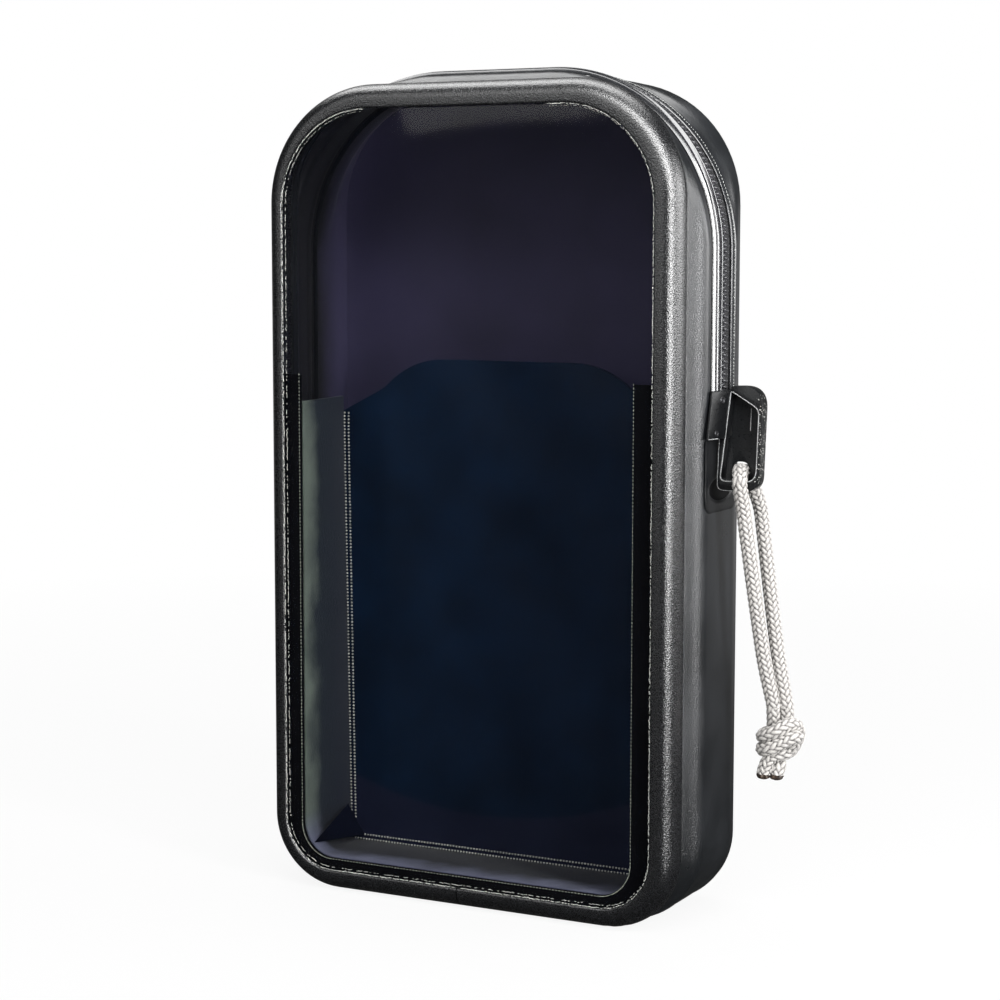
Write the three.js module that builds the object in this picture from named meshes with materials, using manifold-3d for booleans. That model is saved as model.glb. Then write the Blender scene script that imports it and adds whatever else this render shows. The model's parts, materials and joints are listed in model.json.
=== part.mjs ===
// Waterproof phone pouch with a clear window, a zipper over its upper half and a pull cord.
// Millimetres. +Z is up, the window faces -Y and the pouch stands on its flat bottom at z = 0.
// Depths are counted from the front face of the rim towards the back; the whole model is
// moved forward by half its depth at the end, so that the origin lies at mid depth.

import * as THREE from 'three';
import { mergeVertices } from 'three/addons/utils/BufferGeometryUtils.js';
import Module from 'manifold-3d';

// Overall size
const rimWidth = 110;
const bodyHeight = 199;
const bodyDepth = 40;
const seatGap = 0.3;

// Moulded shell
const wallThickness = 2;
const rimTopRadius = 28.5;
const rimBottomRadius = 18.3;
const shellFrontDepth = 8.3;
const coveDepth = 9.4;
const covePinch = 1.3;
const backEdgeRadius = 4;
const backTopRadius = 26.5;

// Zipper band, which stands proud of the rim and takes the corners in a wider curve
const bandProud = 2.2;
const bandTopRadius = 42;
const bandBottomRadius = 20;
const bandFrontDepth = 15;
const bandRearDepth = 29.8;
const zipperDepth = 22.5;
const channelHalfWidth = 7.1;
const channelCut = 1;
const slitHalfWidth = 2.5;
const slitTail = 2.5;

// Zipper
const tapeThickness = 0.5;
const tapeGap = 2.4;
const tapeTail = 8.5;
const lipFrontWidth = 3.4;
const lipRearWidth = 2.5;
const lipRidge = 1.3;
const teethPitch = 3.2;
const toothLength = 1.2;
const toothReach = 1.6;
const teethHeight = 0.9;
const teethCordWidth = 1.4;
const teethNeckClearance = 1.2;
const leftTeethRise = 1.5;

// End docks
const dockLength = 17.9;
const dockOverlap = 2.3;
const dockThickness = 0.5;
const dockHalfWidth = 9.6;
const dockCorner = 3;
const dockHollowHalfWidth = 7.4;
const dockHollowHeight = 5.4;
const dockHollowRise = 2.6;

// Rim and window
const rimFaceWidth = 5.9;
const rimEdgeRun = 3;
const rimEdgeDepth = 5.5;
const rimBackDepth = 8;
const rimLipThickness = 1.2;
const rimLedgeInset = 3.2;
const rimButtX = -1.5;
const rimButtGap = 0.3;
const windowThickness = 0.8;

// Inner pocket
const bindingWidth = 6.6;
const bindingThickness = 1.2;
const bindingTopHeight = 129;
const gussetThickness = 1;
const gussetSplay = 3;
const gussetTopHeight = 122;
const panelFrontDepth = 30;
const panelThickness = 1.2;
const panelInset = 6.4;
const panelTopHeight = 132;
const panelTopHalfWidth = 22;
const panelShoulderHeight = 118;
const panelShoulderRun = 13;
const panelShoulderRise = 6.5;
const panelTopRounding = 4;
const pocketRearRadius = 2.5;

// Slider grip, which straddles the zipper's lips
const sliderBottomHeight = 116.5;
const sliderLength = 11.1;
const sliderLeadHalfWidth = 10;
const sliderTrailHalfWidth = 8.4;
const sliderPlateThickness = 1.7;
const sliderFlankRise = 0.6;
const sliderRidgeHalfWidth = 1.9;
const sliderRoofHalfWidth = 4.6;
const sliderRoofDrop = 1;
const sliderLipClearance = 0.3;
const sliderSkirtClearance = 0.4;

// Slider core, whose neck passes through the slit to a plate inside the pouch
const neckWidth = 1.6;
const neckLength = 3.3;
const neckRise = 1.2;
const innerPlateThickness = 1.5;
const innerPlateHalfWidth = 4;
const innerPlateClearance = 0.7;
const pinRadius = 0.8;
const pinProud = 0.2;
const pinDepth = 0.9;
const pinForward = 6;
const pinTopDistance = 2.6;
const pinBottomDistance = 1.9;

// Loop handle of the slider grip
const handleThickness = 3.4;
const handleReach = 7.6;
const handleDrop = 12.5;
const handleRise = 0.6;
const handleTopRadius = 5.5;
const handleBottomRadius = 3.6;
const handleRootRadius = 0.8;
const handleHeelClearance = 0.45;
const handleTopWall = 2.5;
const handleOuterWall = 1.4;
const handleBottomWall = 2.2;
const handleHeelWall = 0.8;
const handleWebThickness = 1.2;
const cordHoleWidth = 5;
const cordHoleHeight = 4.2;
const cordHoleInset = 3.35;

// Pull cord
const cordDiameter = 3.3;
const cordTopBend = cordDiameter / 2 + 0.35;
const cordSides = 8;
const knotWidth = 9.8;
const knotHeight = 9.8;
const knotThickness = 8.4;
const tailLength = 7.5;
const tailShift = 2.4;
const tailSpread = 1.4;
const tailStagger = 0.8;

// Colours and finishes, as [colour, roughness, metalness]
const finishes = {
  grainedRim: ['#2b2c30', 0.6, 0],
  shell: ['#26272a', 0.5, 0],
  clearSheet: ['#10131c', 0.08, 0],
  lip: ['#2f3034', 0.35, 0],
  tape: ['#1d1d1f', 0.7, 0],
  coil: ['#232325', 0.35, 0],
  dock: ['#1b1c1e', 0.5, 0],
  binding: ['#0b0b0e', 0.6, 0],
  lining: ['#232a3c', 0.8, 0],
  slider: ['#1a1b1d', 0.4, 0],
  steelPin: ['#3a3a3c', 0.3, 0.6],
  cord: ['#b9b9b6', 0.9, 0],
};

// Values that follow from the sizes above
const halfWidth = rimWidth / 2;
const bandHalfWidth = halfWidth + bandProud;
const bandTop = bodyHeight + bandProud;
const bandArcHeight = bandTop - bandTopRadius;
const channelFront = zipperDepth - channelHalfWidth;
const channelRear = zipperDepth + channelHalfWidth;
const tapeBottom = seatGap - channelCut;
const tapeTop = tapeBottom + tapeThickness;
const tapeFrontEdge = zipperDepth - tapeGap / 2;
const tapeRearEdge = zipperDepth + tapeGap / 2;
const lipBase = tapeTop + seatGap;
const lipFrontDepth = channelFront + seatGap;
const lipPeak = lipBase + lipRidge;
const lipEndHeight = sliderBottomHeight - seatGap;
const teethBottom = tapeTop + seatGap;
const dockTopHeight = sliderBottomHeight - sliderSkirtClearance;
const dockBottomHeight = dockTopHeight - dockLength;
const channelEndHeight = dockBottomHeight + dockOverlap;
const slitEndHeight = sliderBottomHeight - slitTail;
const tapeEndHeight = sliderBottomHeight - tapeTail;
const leftTeethHeight = sliderBottomHeight + leftTeethRise;
const dockFace = seatGap + dockThickness;
const windowFrontDepth = rimLipThickness + seatGap;
const windowInset = rimLedgeInset + seatGap;
const bindingFrontDepth = windowFrontDepth + windowThickness + seatGap;
const bindingBackDepth = bindingFrontDepth + bindingThickness;
const bindingInnerInset = windowInset + bindingWidth;
const gussetFrontDepth = bindingBackDepth + seatGap;
const gussetBackDepth = panelFrontDepth - seatGap;
const sliderTopHeight = sliderBottomHeight + sliderLength;
const sliderPlateBottom = bandHalfWidth + lipPeak + sliderLipClearance;
const sliderPlateTop = sliderPlateBottom + sliderPlateThickness;
const sliderSkirtBottom = bandHalfWidth + sliderSkirtClearance;
const sliderFlankX = sliderSkirtBottom + sliderFlankRise;
const sliderTeethHeight = sliderBottomHeight + neckRise + neckLength + teethNeckClearance;
const neckBottomHeight = sliderBottomHeight + neckRise;
const innerPlateTop = bandHalfWidth - wallThickness - innerPlateClearance;
const handleHeelX = bandHalfWidth + dockFace + handleHeelClearance;
const handleOuterX = sliderPlateTop + handleReach;
const handleBottomHeight = sliderBottomHeight - handleDrop;
const handleTopHeight = sliderTopHeight + handleRise;
const handleFrontDepth = zipperDepth - handleThickness / 2;
const handleBackDepth = zipperDepth + handleThickness / 2;
const cordHoleBottom = handleBottomHeight + handleBottomWall;
const cordX = handleOuterX - cordHoleInset;

const wasm = await Module();
wasm.setup();

// Bodies and booleans

function toSolid(geometry) {
  const bare = new THREE.BufferGeometry();
  bare.setAttribute('position', geometry.getAttribute('position').clone());
  if (geometry.index) bare.setIndex(geometry.index.clone());
  const merged = mergeVertices(bare, 1e-4);
  return new wasm.Manifold(new wasm.Mesh({
    numProp: 3,
    vertProperties: merged.getAttribute('position').array,
    triVerts: new Uint32Array(merged.index.array),
  }));
}

function toGeometry(solid) {
  const mesh = solid.getMesh();
  const geometry = new THREE.BufferGeometry();
  geometry.setAttribute('position', new THREE.BufferAttribute(new Float32Array(mesh.vertProperties), 3));
  geometry.setIndex(new THREE.BufferAttribute(new Uint32Array(mesh.triVerts), 1));
  geometry.computeVertexNormals();
  return geometry;
}

function cut(body, ...tools) {
  return toGeometry(tools.reduce((left, tool) => left.subtract(toSolid(tool)), toSolid(body)));
}

function join(body, ...others) {
  return toGeometry(others.reduce((left, other) => left.add(toSolid(other)), toSolid(body)));
}

function capFaces(contour) {
  const faces = THREE.ShapeUtils.triangulateShape(contour, []);
  return THREE.ShapeUtils.isClockWise(contour) ? faces.map(([a, b, c]) => [a, c, b]) : faces;
}

function signedVolume(positions, triangles) {
  const a = new THREE.Vector3();
  const b = new THREE.Vector3();
  const c = new THREE.Vector3();
  let sum = 0;
  for (let i = 0; i < triangles.length; i += 3) {
    a.fromArray(positions, triangles[i] * 3);
    b.fromArray(positions, triangles[i + 1] * 3);
    c.fromArray(positions, triangles[i + 2] * 3);
    sum += a.dot(b.cross(c));
  }
  return sum;
}

// A closed body skinned over equal rings of points, with both ends capped
function skinned(rings, contour) {
  const count = rings[0].length;
  const positions = rings.flat().flatMap((point) => point.toArray());
  const triangles = [];
  for (let i = 0; i + 1 < rings.length; i += 1) {
    for (let j = 0; j < count; j += 1) {
      const a = i * count + j;
      const b = i * count + (j + 1) % count;
      triangles.push(a, b, b + count, a, b + count, a + count);
    }
  }
  const last = (rings.length - 1) * count;
  capFaces(contour).forEach(([a, b, c]) => {
    triangles.push(a, c, b);
    triangles.push(last + a, last + b, last + c);
  });
  if (signedVolume(positions, triangles) < 0) triangles.reverse();
  const geometry = new THREE.BufferGeometry();
  geometry.setAttribute('position', new THREE.Float32BufferAttribute(positions, 3));
  geometry.setIndex(triangles);
  geometry.computeVertexNormals();
  return geometry;
}

// Outlines in the XZ plane, as stations with an outward normal

function arcStations(centreX, centreZ, radius, fromDegrees, toDegrees, steps) {
  return Array.from({ length: steps + 1 }, (unused, i) => {
    const angle = THREE.MathUtils.degToRad(fromDegrees + (toDegrees - fromDegrees) * i / steps);
    const nx = Math.cos(angle);
    const nz = Math.sin(angle);
    return { x: centreX + radius * nx, z: centreZ + radius * nz, nx, nz };
  });
}

function roundedOutline(side, low, high, topRadius, bottomRadius) {
  return [
    ...arcStations(side - bottomRadius, low + bottomRadius, bottomRadius, -90, 0, 7),
    ...arcStations(side - topRadius, high - topRadius, topRadius, 0, 90, 11),
    ...arcStations(topRadius - side, high - topRadius, topRadius, 90, 180, 11),
    ...arcStations(bottomRadius - side, low + bottomRadius, bottomRadius, 180, 270, 7),
  ];
}

// The rim's outline, starting and ending at the butt joint in its bottom edge
function rimStations() {
  const low = { z: 0, nx: 0, nz: -1 };
  return [
    { x: rimButtX + rimButtGap / 2, ...low },
    ...roundedOutline(halfWidth, 0, bodyHeight, rimTopRadius, rimBottomRadius),
    { x: rimButtX - rimButtGap / 2, ...low },
  ];
}

// The lower part of the rim's outline, open at the top
function pocketStations(topHeight, inset = 0, radius = rimBottomRadius) {
  const side = halfWidth - inset;
  const corner = side - radius;
  return [
    { x: side, z: topHeight, nx: 1, nz: 0 },
    ...arcStations(corner, inset + radius, radius, 0, -90, 8),
    ...arcStations(-corner, inset + radius, radius, -90, -180, 8),
    { x: -side, z: topHeight, nx: -1, nz: 0 },
  ];
}

// The zipper's path, up the right side, over the top and down the left side
function zipperStations(rightEnd, leftEnd) {
  const corner = bandHalfWidth - bandTopRadius;
  return [
    { x: bandHalfWidth, z: rightEnd, nx: 1, nz: 0 },
    ...arcStations(corner, bandArcHeight, bandTopRadius, 0, 90, 14),
    ...arcStations(-corner, bandArcHeight, bandTopRadius, 90, 180, 14),
    { x: -bandHalfWidth, z: leftEnd, nx: -1, nz: 0 },
  ];
}

// One point of the zipper's path at a distance from the height where its right end starts
function zipperPoint(rightEnd, distance) {
  const rise = bandArcHeight - rightEnd;
  const arc = bandTopRadius * Math.PI / 2;
  const top = 2 * (bandHalfWidth - bandTopRadius);
  const corner = bandHalfWidth - bandTopRadius;
  if (distance < rise) return { x: bandHalfWidth, z: rightEnd + distance, nx: 1, nz: 0 };
  const past = distance - rise;
  if (past < arc) return arcStations(corner, bandArcHeight, bandTopRadius, past / arc * 90, 90, 1)[0];
  if (past < arc + top) return { x: corner - (past - arc), z: bandTop, nx: 0, nz: 1 };
  const down = past - arc - top;
  if (down < arc) return arcStations(-corner, bandArcHeight, bandTopRadius, 90 + down / arc * 90, 180, 1)[0];
  return { x: -bandHalfWidth, z: bandArcHeight - (down - arc), nx: -1, nz: 0 };
}

function zipperLength(rightEnd, leftEnd) {
  const straights = 2 * bandArcHeight - rightEnd - leftEnd + 2 * (bandHalfWidth - bandTopRadius);
  return straights + Math.PI * bandTopRadius;
}

// A profile of [outward, depth] pairs swept along stations
function swept(stations, profile) {
  const rings = stations.map((at) => profile.map(
    ([outward, depth]) => new THREE.Vector3(at.x + at.nx * outward, depth, at.z + at.nz * outward),
  ));
  return skinned(rings, profile.map(([outward, depth]) => new THREE.Vector2(outward, depth)));
}

function band(lowOutward, highOutward, frontDepth, backDepth) {
  return [
    [lowOutward, frontDepth],
    [highOutward, frontDepth],
    [highOutward, backDepth],
    [lowOutward, backDepth],
  ];
}

// Moulded shell: a tray with a swelling side wall, whose upper wall carries the zipper's channel and slit

function shellSections() {
  const edge = backEdgeRadius;
  return [
    { depth: shellFrontDepth, proud: -covePinch - 0.3, top: rimTopRadius - 1.5, bottom: rimBottomRadius - 1.3 },
    { depth: coveDepth, proud: -covePinch, top: rimTopRadius - 1, bottom: rimBottomRadius - 1 },
    { depth: (coveDepth * 2 + bandFrontDepth) / 3, proud: 0.1, top: 33, bottom: 18 },
    { depth: (coveDepth + bandFrontDepth * 2) / 3, proud: bandProud * 0.75, top: 39, bottom: 19 },
    { depth: bandFrontDepth, proud: bandProud, top: bandTopRadius, bottom: bandBottomRadius },
    { depth: bandRearDepth, proud: bandProud, top: bandTopRadius, bottom: bandBottomRadius },
    { depth: bodyDepth - edge * 1.85, proud: bandProud * 0.78, top: 35, bottom: 19 },
    { depth: bodyDepth - edge * 1.2, proud: bandProud * 0.45, top: 29.5, bottom: 18.4 },
    { depth: bodyDepth - edge * 0.6, proud: bandProud * 0.15, top: backTopRadius, bottom: 18 },
    { depth: bodyDepth - edge * 0.2, proud: -edge * 0.3, top: backTopRadius - 1.4, bottom: 16.6 },
    { depth: bodyDepth, proud: -edge, top: backTopRadius - 4, bottom: 14 },
  ];
}

function shellRing(section, inward, depth) {
  const side = halfWidth + section.proud - inward;
  const low = Math.max(-section.proud, 0) + inward;
  const high = bodyHeight + section.proud - inward;
  const outline = roundedOutline(side, low, high, section.top - inward, section.bottom - inward);
  return outline.map((at) => new THREE.Vector3(at.x, depth, at.z));
}

function bodyShell() {
  const sections = shellSections();
  const outer = sections.map((section) => shellRing(section, 0, section.depth));
  const lining = sections.filter((section) => section.depth < bodyDepth - wallThickness);
  const inner = lining.map((section) => shellRing(section, wallThickness, section.depth));
  const floor = shellRing(sections[sections.length - 1], wallThickness * 0.6, bodyDepth - wallThickness);
  const rings = [floor, ...inner.reverse(), ...outer];
  const tray = skinned(rings, floor.map((point) => new THREE.Vector2(point.x, point.z)));
  const channel = swept(
    zipperStations(channelEndHeight, channelEndHeight),
    band(-channelCut, channelCut * 4, channelFront, channelRear),
  );
  const slit = swept(
    zipperStations(slitEndHeight, slitEndHeight),
    band(-wallThickness * 2, 0, zipperDepth - slitHalfWidth, zipperDepth + slitHalfWidth),
  );
  return cut(tray, channel, slit);
}

// Rim: a padded strip bent round the window, whose two ends butt at the bottom
function frontRim() {
  const edge = [0, 23, 45, 68, 90].map((degrees) => {
    const angle = THREE.MathUtils.degToRad(degrees);
    return [rimEdgeRun * (Math.sin(angle) - 1), rimEdgeDepth * (1 - Math.cos(angle))];
  });
  return swept(rimStations(), [
    [-rimFaceWidth, rimLipThickness],
    [-rimFaceWidth, 0.5],
    [-rimFaceWidth + 0.5, 0],
    ...edge,
    [-0.3, (rimEdgeDepth + rimBackDepth) / 2],
    [-covePinch, rimBackDepth],
    [-rimLedgeInset, rimBackDepth],
    [-rimLedgeInset, rimLipThickness],
  ]);
}

// Flat pieces are drawn in XZ and extruded back from their front depth
function plate(shape, frontDepth, thickness, curveSegments = 10) {
  const geometry = new THREE.ExtrudeGeometry(shape, { depth: thickness, bevelEnabled: false, curveSegments });
  geometry.rotateX(Math.PI / 2);
  geometry.translate(0, frontDepth + thickness, 0);
  return geometry;
}

function frontWindow() {
  const outline = roundedOutline(
    halfWidth - windowInset,
    windowInset,
    bodyHeight - windowInset,
    rimTopRadius - windowInset,
    rimBottomRadius - windowInset,
  );
  return plate(new THREE.Shape(outline.map((at) => new THREE.Vector2(at.x, at.z))), windowFrontDepth, windowThickness);
}

// Zipper

function lipFront() {
  const d = lipFrontDepth;
  return [
    [lipBase, d],
    [lipBase + 0.45, d + 0.3],
    [lipBase + 0.75, d + 1],
    [lipBase + 0.5, d + 1.6],
    [lipBase + 0.5, d + 1.8],
    [lipPeak - 0.3, d + 2.1],
    [lipPeak, d + 2.6],
    [lipPeak - 0.3, d + 3.1],
    [lipBase, d + lipFrontWidth],
  ];
}

function lipRear() {
  const d = channelRear - seatGap;
  return [
    [lipBase, d - lipRearWidth],
    [lipBase + 0.4, d - 2.1],
    [lipBase + 0.5, d - 1.3],
    [lipBase + 0.65, d - 0.7],
    [lipBase + 0.35, d - 0.1],
    [lipBase, d],
  ];
}

// One tooth, tapered to its tip, at a point of the path and reaching across from its cord
function tooth(at, rootDepth, tipDepth) {
  const section = (depth, half) => [
    [-half, teethBottom],
    [half, teethBottom],
    [half, teethBottom + teethHeight],
    [-half, teethBottom + teethHeight],
  ].map(([along, outward]) => new THREE.Vector3(
    at.x + at.nx * outward - at.nz * along,
    depth,
    at.z + at.nz * outward + at.nx * along,
  ));
  const rings = [section(rootDepth, toothLength / 2), section(tipDepth, toothLength * 0.38)];
  return skinned(rings, [[0, 0], [1, 0], [1, 1], [0, 1]].map(([u, v]) => new THREE.Vector2(u, v)));
}

// A row of teeth on its cord; side is -1 for the front row and 1 for the rear row
function teethRow(side) {
  const edge = zipperDepth + side * tapeGap / 2;
  const outer = edge + side * teethCordWidth;
  const cord = swept(
    zipperStations(sliderTeethHeight, leftTeethHeight),
    band(teethBottom, teethBottom + teethHeight, Math.min(edge, outer), Math.max(edge, outer)),
  );
  const length = zipperLength(sliderTeethHeight, leftTeethHeight);
  const first = side < 0 ? teethPitch / 4 : teethPitch * 3 / 4;
  const count = Math.floor((length - first - toothLength) / teethPitch) + 1;
  const teeth = Array.from({ length: count }, (unused, i) => tooth(
    zipperPoint(sliderTeethHeight, first + i * teethPitch),
    edge + side * teethCordWidth / 4,
    edge - side * toothReach,
  ));
  return join(cord, ...teeth);
}

// End dock: a thin moulded plate over the zipper's end with an oval hollow in it
function endDock(side) {
  const x = side * (bandHalfWidth + seatGap);
  const shape = new THREE.Shape();
  const half = dockHalfWidth;
  const r = dockCorner;
  shape.moveTo(half, dockTopHeight);
  shape.lineTo(-half, dockTopHeight);
  shape.lineTo(-half, dockBottomHeight + r);
  shape.absarc(-half + r, dockBottomHeight + r, r, Math.PI, Math.PI * 1.5);
  shape.lineTo(half - r, dockBottomHeight);
  shape.absarc(half - r, dockBottomHeight + r, r, Math.PI * 1.5, Math.PI * 2);
  const hollow = new THREE.Path();
  const hollowHeight = dockBottomHeight + dockHollowRise + dockHollowHeight / 2;
  hollow.absellipse(0, hollowHeight, dockHollowHalfWidth, dockHollowHeight / 2, 0, Math.PI * 2, true);
  shape.holes.push(hollow);
  return sidePlate(shape, x, side * dockThickness, 5);
}

// Pieces on the side wall are drawn in YZ about the zipper's middle and extruded along X
function sidePlate(shape, startX, run, curveSegments = 8) {
  const geometry = new THREE.ExtrudeGeometry(shape, {
    depth: Math.abs(run),
    bevelEnabled: false,
    curveSegments,
  });
  geometry.applyMatrix4(new THREE.Matrix4().makeBasis(
    new THREE.Vector3(0, 1, 0),
    new THREE.Vector3(0, 0, 1),
    new THREE.Vector3(1, 0, 0),
  ));
  geometry.translate(Math.min(startX, startX + run), zipperDepth, 0);
  return geometry;
}

// Inner pocket

function pocketBinding() {
  return swept(
    pocketStations(bindingTopHeight),
    band(-bindingInnerInset, -windowInset, bindingFrontDepth, bindingBackDepth),
  );
}

// The gusset starts round behind the window's edge and ends in the panel's tight corners
function pocketGusset() {
  const edge = (inset, radius, depth) => pocketStations(gussetTopHeight, inset, radius).map(
    (at) => new THREE.Vector3(at.x, depth, at.z),
  );
  const front = bindingInnerInset;
  const back = front - gussetSplay;
  const wall = gussetThickness;
  const edges = [
    edge(front, rimBottomRadius - front, gussetFrontDepth),
    edge(front - wall, rimBottomRadius - front + wall, gussetFrontDepth),
    edge(back - wall, pocketRearRadius + wall, gussetBackDepth),
    edge(back, pocketRearRadius, gussetBackDepth),
  ];
  const rings = edges[0].map((unused, i) => edges.map((line) => line[i]));
  return skinned(rings, rings[0].map((point) => new THREE.Vector2(point.x, point.y)));
}

function pocketPanel() {
  const half = halfWidth - panelInset;
  const r = pocketRearRadius;
  const low = panelShoulderHeight;
  const bend = panelShoulderRise / 2;
  const slope = half - panelShoulderRun;
  const corner = panelTopHalfWidth + panelTopRounding;
  const flat = panelTopHalfWidth - panelTopRounding;
  const shape = new THREE.Shape();
  shape.moveTo(half, low);
  shape.quadraticCurveTo(half - bend, low + bend, slope, low + panelShoulderRise);
  shape.quadraticCurveTo(corner, panelTopHeight, flat, panelTopHeight);
  shape.lineTo(-flat, panelTopHeight);
  shape.quadraticCurveTo(-corner, panelTopHeight, -slope, low + panelShoulderRise);
  shape.quadraticCurveTo(bend - half, low + bend, -half, low);
  shape.lineTo(-half, panelInset + r);
  shape.absarc(-half + r, panelInset + r, r, Math.PI, Math.PI * 1.5);
  shape.lineTo(half - r, panelInset);
  shape.absarc(half - r, panelInset + r, r, Math.PI * 1.5, Math.PI * 2);
  return plate(shape, panelFrontDepth, panelThickness, 5);
}

// Slider

function block(lowX, highX, frontDepth, backDepth, lowZ, highZ) {
  const geometry = new THREE.BoxGeometry(highX - lowX, backDepth - frontDepth, highZ - lowZ);
  geometry.translate((lowX + highX) / 2, (frontDepth + backDepth) / 2, (lowZ + highZ) / 2);
  return geometry;
}

// Two pins stand square to the hood's slanting face in front of the handle
function pinHeights() {
  return [sliderTopHeight - pinTopDistance, sliderBottomHeight + pinBottomDistance];
}

function pinCylinder(height, radius, below, above) {
  const share = (height - sliderBottomHeight) / sliderLength;
  const half = THREE.MathUtils.lerp(sliderLeadHalfWidth, sliderTrailHalfWidth, share);
  const slope = (sliderPlateTop - sliderFlankX) / (half - sliderRidgeHalfWidth);
  const tilt = Math.atan(slope);
  const middle = (above - below) / 2;
  const geometry = new THREE.CylinderGeometry(radius, radius, above + below, 12);
  geometry.rotateZ(-Math.PI / 2 - tilt);
  geometry.translate(
    sliderFlankX + (half - pinForward) * slope + middle * Math.cos(tilt),
    zipperDepth - pinForward - middle * Math.sin(tilt),
    height,
  );
  return geometry;
}

function sliderPin(height) {
  return pinCylinder(height, pinRadius, pinDepth, pinProud);
}

function sliderNeck(clearance, endX) {
  return block(
    innerPlateTop - innerPlateThickness / 2,
    endX,
    zipperDepth - neckWidth / 2 - clearance,
    zipperDepth + neckWidth / 2 + clearance,
    neckBottomHeight - clearance,
    neckBottomHeight + neckLength + clearance,
  );
}

function sliderCore() {
  const plateFromEnd = neckRise / 2;
  const innerPlate = block(
    innerPlateTop - innerPlateThickness,
    innerPlateTop,
    zipperDepth - innerPlateHalfWidth,
    zipperDepth + innerPlateHalfWidth,
    sliderBottomHeight + plateFromEnd,
    sliderTopHeight - plateFromEnd,
  );
  return join(sliderNeck(0, sliderPlateTop), innerPlate);
}

// The loop starts inside the hood's plate and steps down to its heel below the hood
function handleOutline() {
  const shape = new THREE.Shape();
  const rootX = (sliderPlateBottom + sliderPlateTop) / 2;
  const right = handleOuterX;
  const top = handleTopHeight;
  const low = handleBottomHeight;
  const heel = handleHeelX + handleRootRadius;
  shape.moveTo(rootX, sliderBottomHeight);
  shape.lineTo(handleHeelX, sliderBottomHeight);
  shape.lineTo(handleHeelX, low + handleRootRadius);
  shape.absarc(heel, low + handleRootRadius, handleRootRadius, Math.PI, Math.PI * 1.5);
  shape.lineTo(right - handleBottomRadius, low);
  shape.absarc(right - handleBottomRadius, low + handleBottomRadius, handleBottomRadius, Math.PI * 1.5, Math.PI * 2);
  shape.lineTo(right, top - handleTopRadius);
  shape.absarc(right - handleTopRadius, top - handleTopRadius, handleTopRadius, 0, Math.PI / 2);
  shape.lineTo(sliderPlateTop, top);
  shape.lineTo(rootX, sliderTopHeight - seatGap);
  return shape;
}

function handleHollow() {
  const right = handleOuterX - handleOuterWall;
  const top = handleTopHeight - handleTopWall;
  const topRadius = handleTopRadius - handleOuterWall;
  const bottomRadius = handleBottomRadius - handleOuterWall;
  const low = cordHoleBottom;
  const shape = new THREE.Shape();
  shape.moveTo(handleHeelX + handleHeelWall, low);
  shape.lineTo(right - bottomRadius, low);
  shape.absarc(right - bottomRadius, low + bottomRadius, bottomRadius, Math.PI * 1.5, Math.PI * 2);
  shape.lineTo(right, top - topRadius);
  shape.absarc(right - topRadius, top - topRadius, topRadius, 0, Math.PI / 2);
  shape.lineTo(sliderPlateTop, top);
  shape.lineTo(sliderPlateTop, sliderBottomHeight);
  return shape;
}

// A roof shape over the zipper, as [half width, x] pairs from its foot up, drawn between two heights
function roof(lowPairs, highPairs, lowZ, highZ) {
  const ring = (pairs, z) => [
    ...pairs.map(([half, x]) => new THREE.Vector3(x, zipperDepth - half, z)),
    ...[...pairs].reverse().map(([half, x]) => new THREE.Vector3(x, zipperDepth + half, z)),
  ];
  const rings = [ring(lowPairs, lowZ), ring(highPairs, highZ)];
  return skinned(rings, rings[0].map((point) => new THREE.Vector2(point.x, point.y)));
}

function hoodPairs(half) {
  return [[half, sliderSkirtBottom], [half, sliderFlankX], [sliderRidgeHalfWidth, sliderPlateTop]];
}

function sliderGrip() {
  const past = 5;
  const hood = roof(hoodPairs(sliderLeadHalfWidth), hoodPairs(sliderTrailHalfWidth), sliderBottomHeight, sliderTopHeight);
  const under = [
    [channelHalfWidth, sliderSkirtBottom - past],
    [channelHalfWidth, sliderPlateBottom - sliderRoofDrop],
    [sliderRoofHalfWidth, sliderPlateBottom],
  ];
  const channel = roof(under, under, sliderBottomHeight - past, sliderTopHeight + past);
  const loop = plate(handleOutline(), handleFrontDepth, handleThickness, 6);
  const hollow = plate(handleHollow(), handleFrontDepth - past, handleThickness - handleWebThickness + past, 5);
  const hole = block(
    cordX - cordHoleWidth / 2,
    cordX + cordHoleWidth / 2,
    handleFrontDepth - past,
    handleBackDepth + past,
    cordHoleBottom,
    cordHoleBottom + cordHoleHeight,
  );
  const pinSeats = pinHeights().map((height) => pinCylinder(
    height,
    pinRadius + seatGap,
    past,
    past,
  ));
  const neckSeat = sliderNeck(seatGap, sliderPlateTop + seatGap);
  return cut(join(cut(hood, channel), loop), hollow, hole, neckSeat, ...pinSeats);
}

// Pull cord: a doubled leg through the handle's hole, knotted at the bottom

const frontLeg = [
  [5.4, -1, -54.6],
  [3.7, -1.5, -42.2],
  [1.9, -2.5, -28.2],
  [0.5, -3.5, -13.8],
];
const rearLeg = [
  [2.3, 3.5, -14],
  [4.4, 2.5, -28.2],
  [6.5, 1.5, -42.2],
  [8.4, 1, -54.6],
];

function cordRoute() {
  const edge = handleThickness / 2;
  const slant = 0.35;
  const over = [
    ...arcStations(-edge, 0, cordTopBend, 180, 90, 4),
    ...arcStations(edge, 0, cordTopBend, 90, 0, 4),
  ];
  const at = ([x, depth, z]) => new THREE.Vector3(cordX + x, zipperDepth + depth, cordHoleBottom + z);
  return [
    ...frontLeg.map(at),
    ...over.map((point) => at([Math.sign(point.x) * slant, point.x, point.z])),
    ...rearLeg.map(at),
  ];
}

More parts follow.
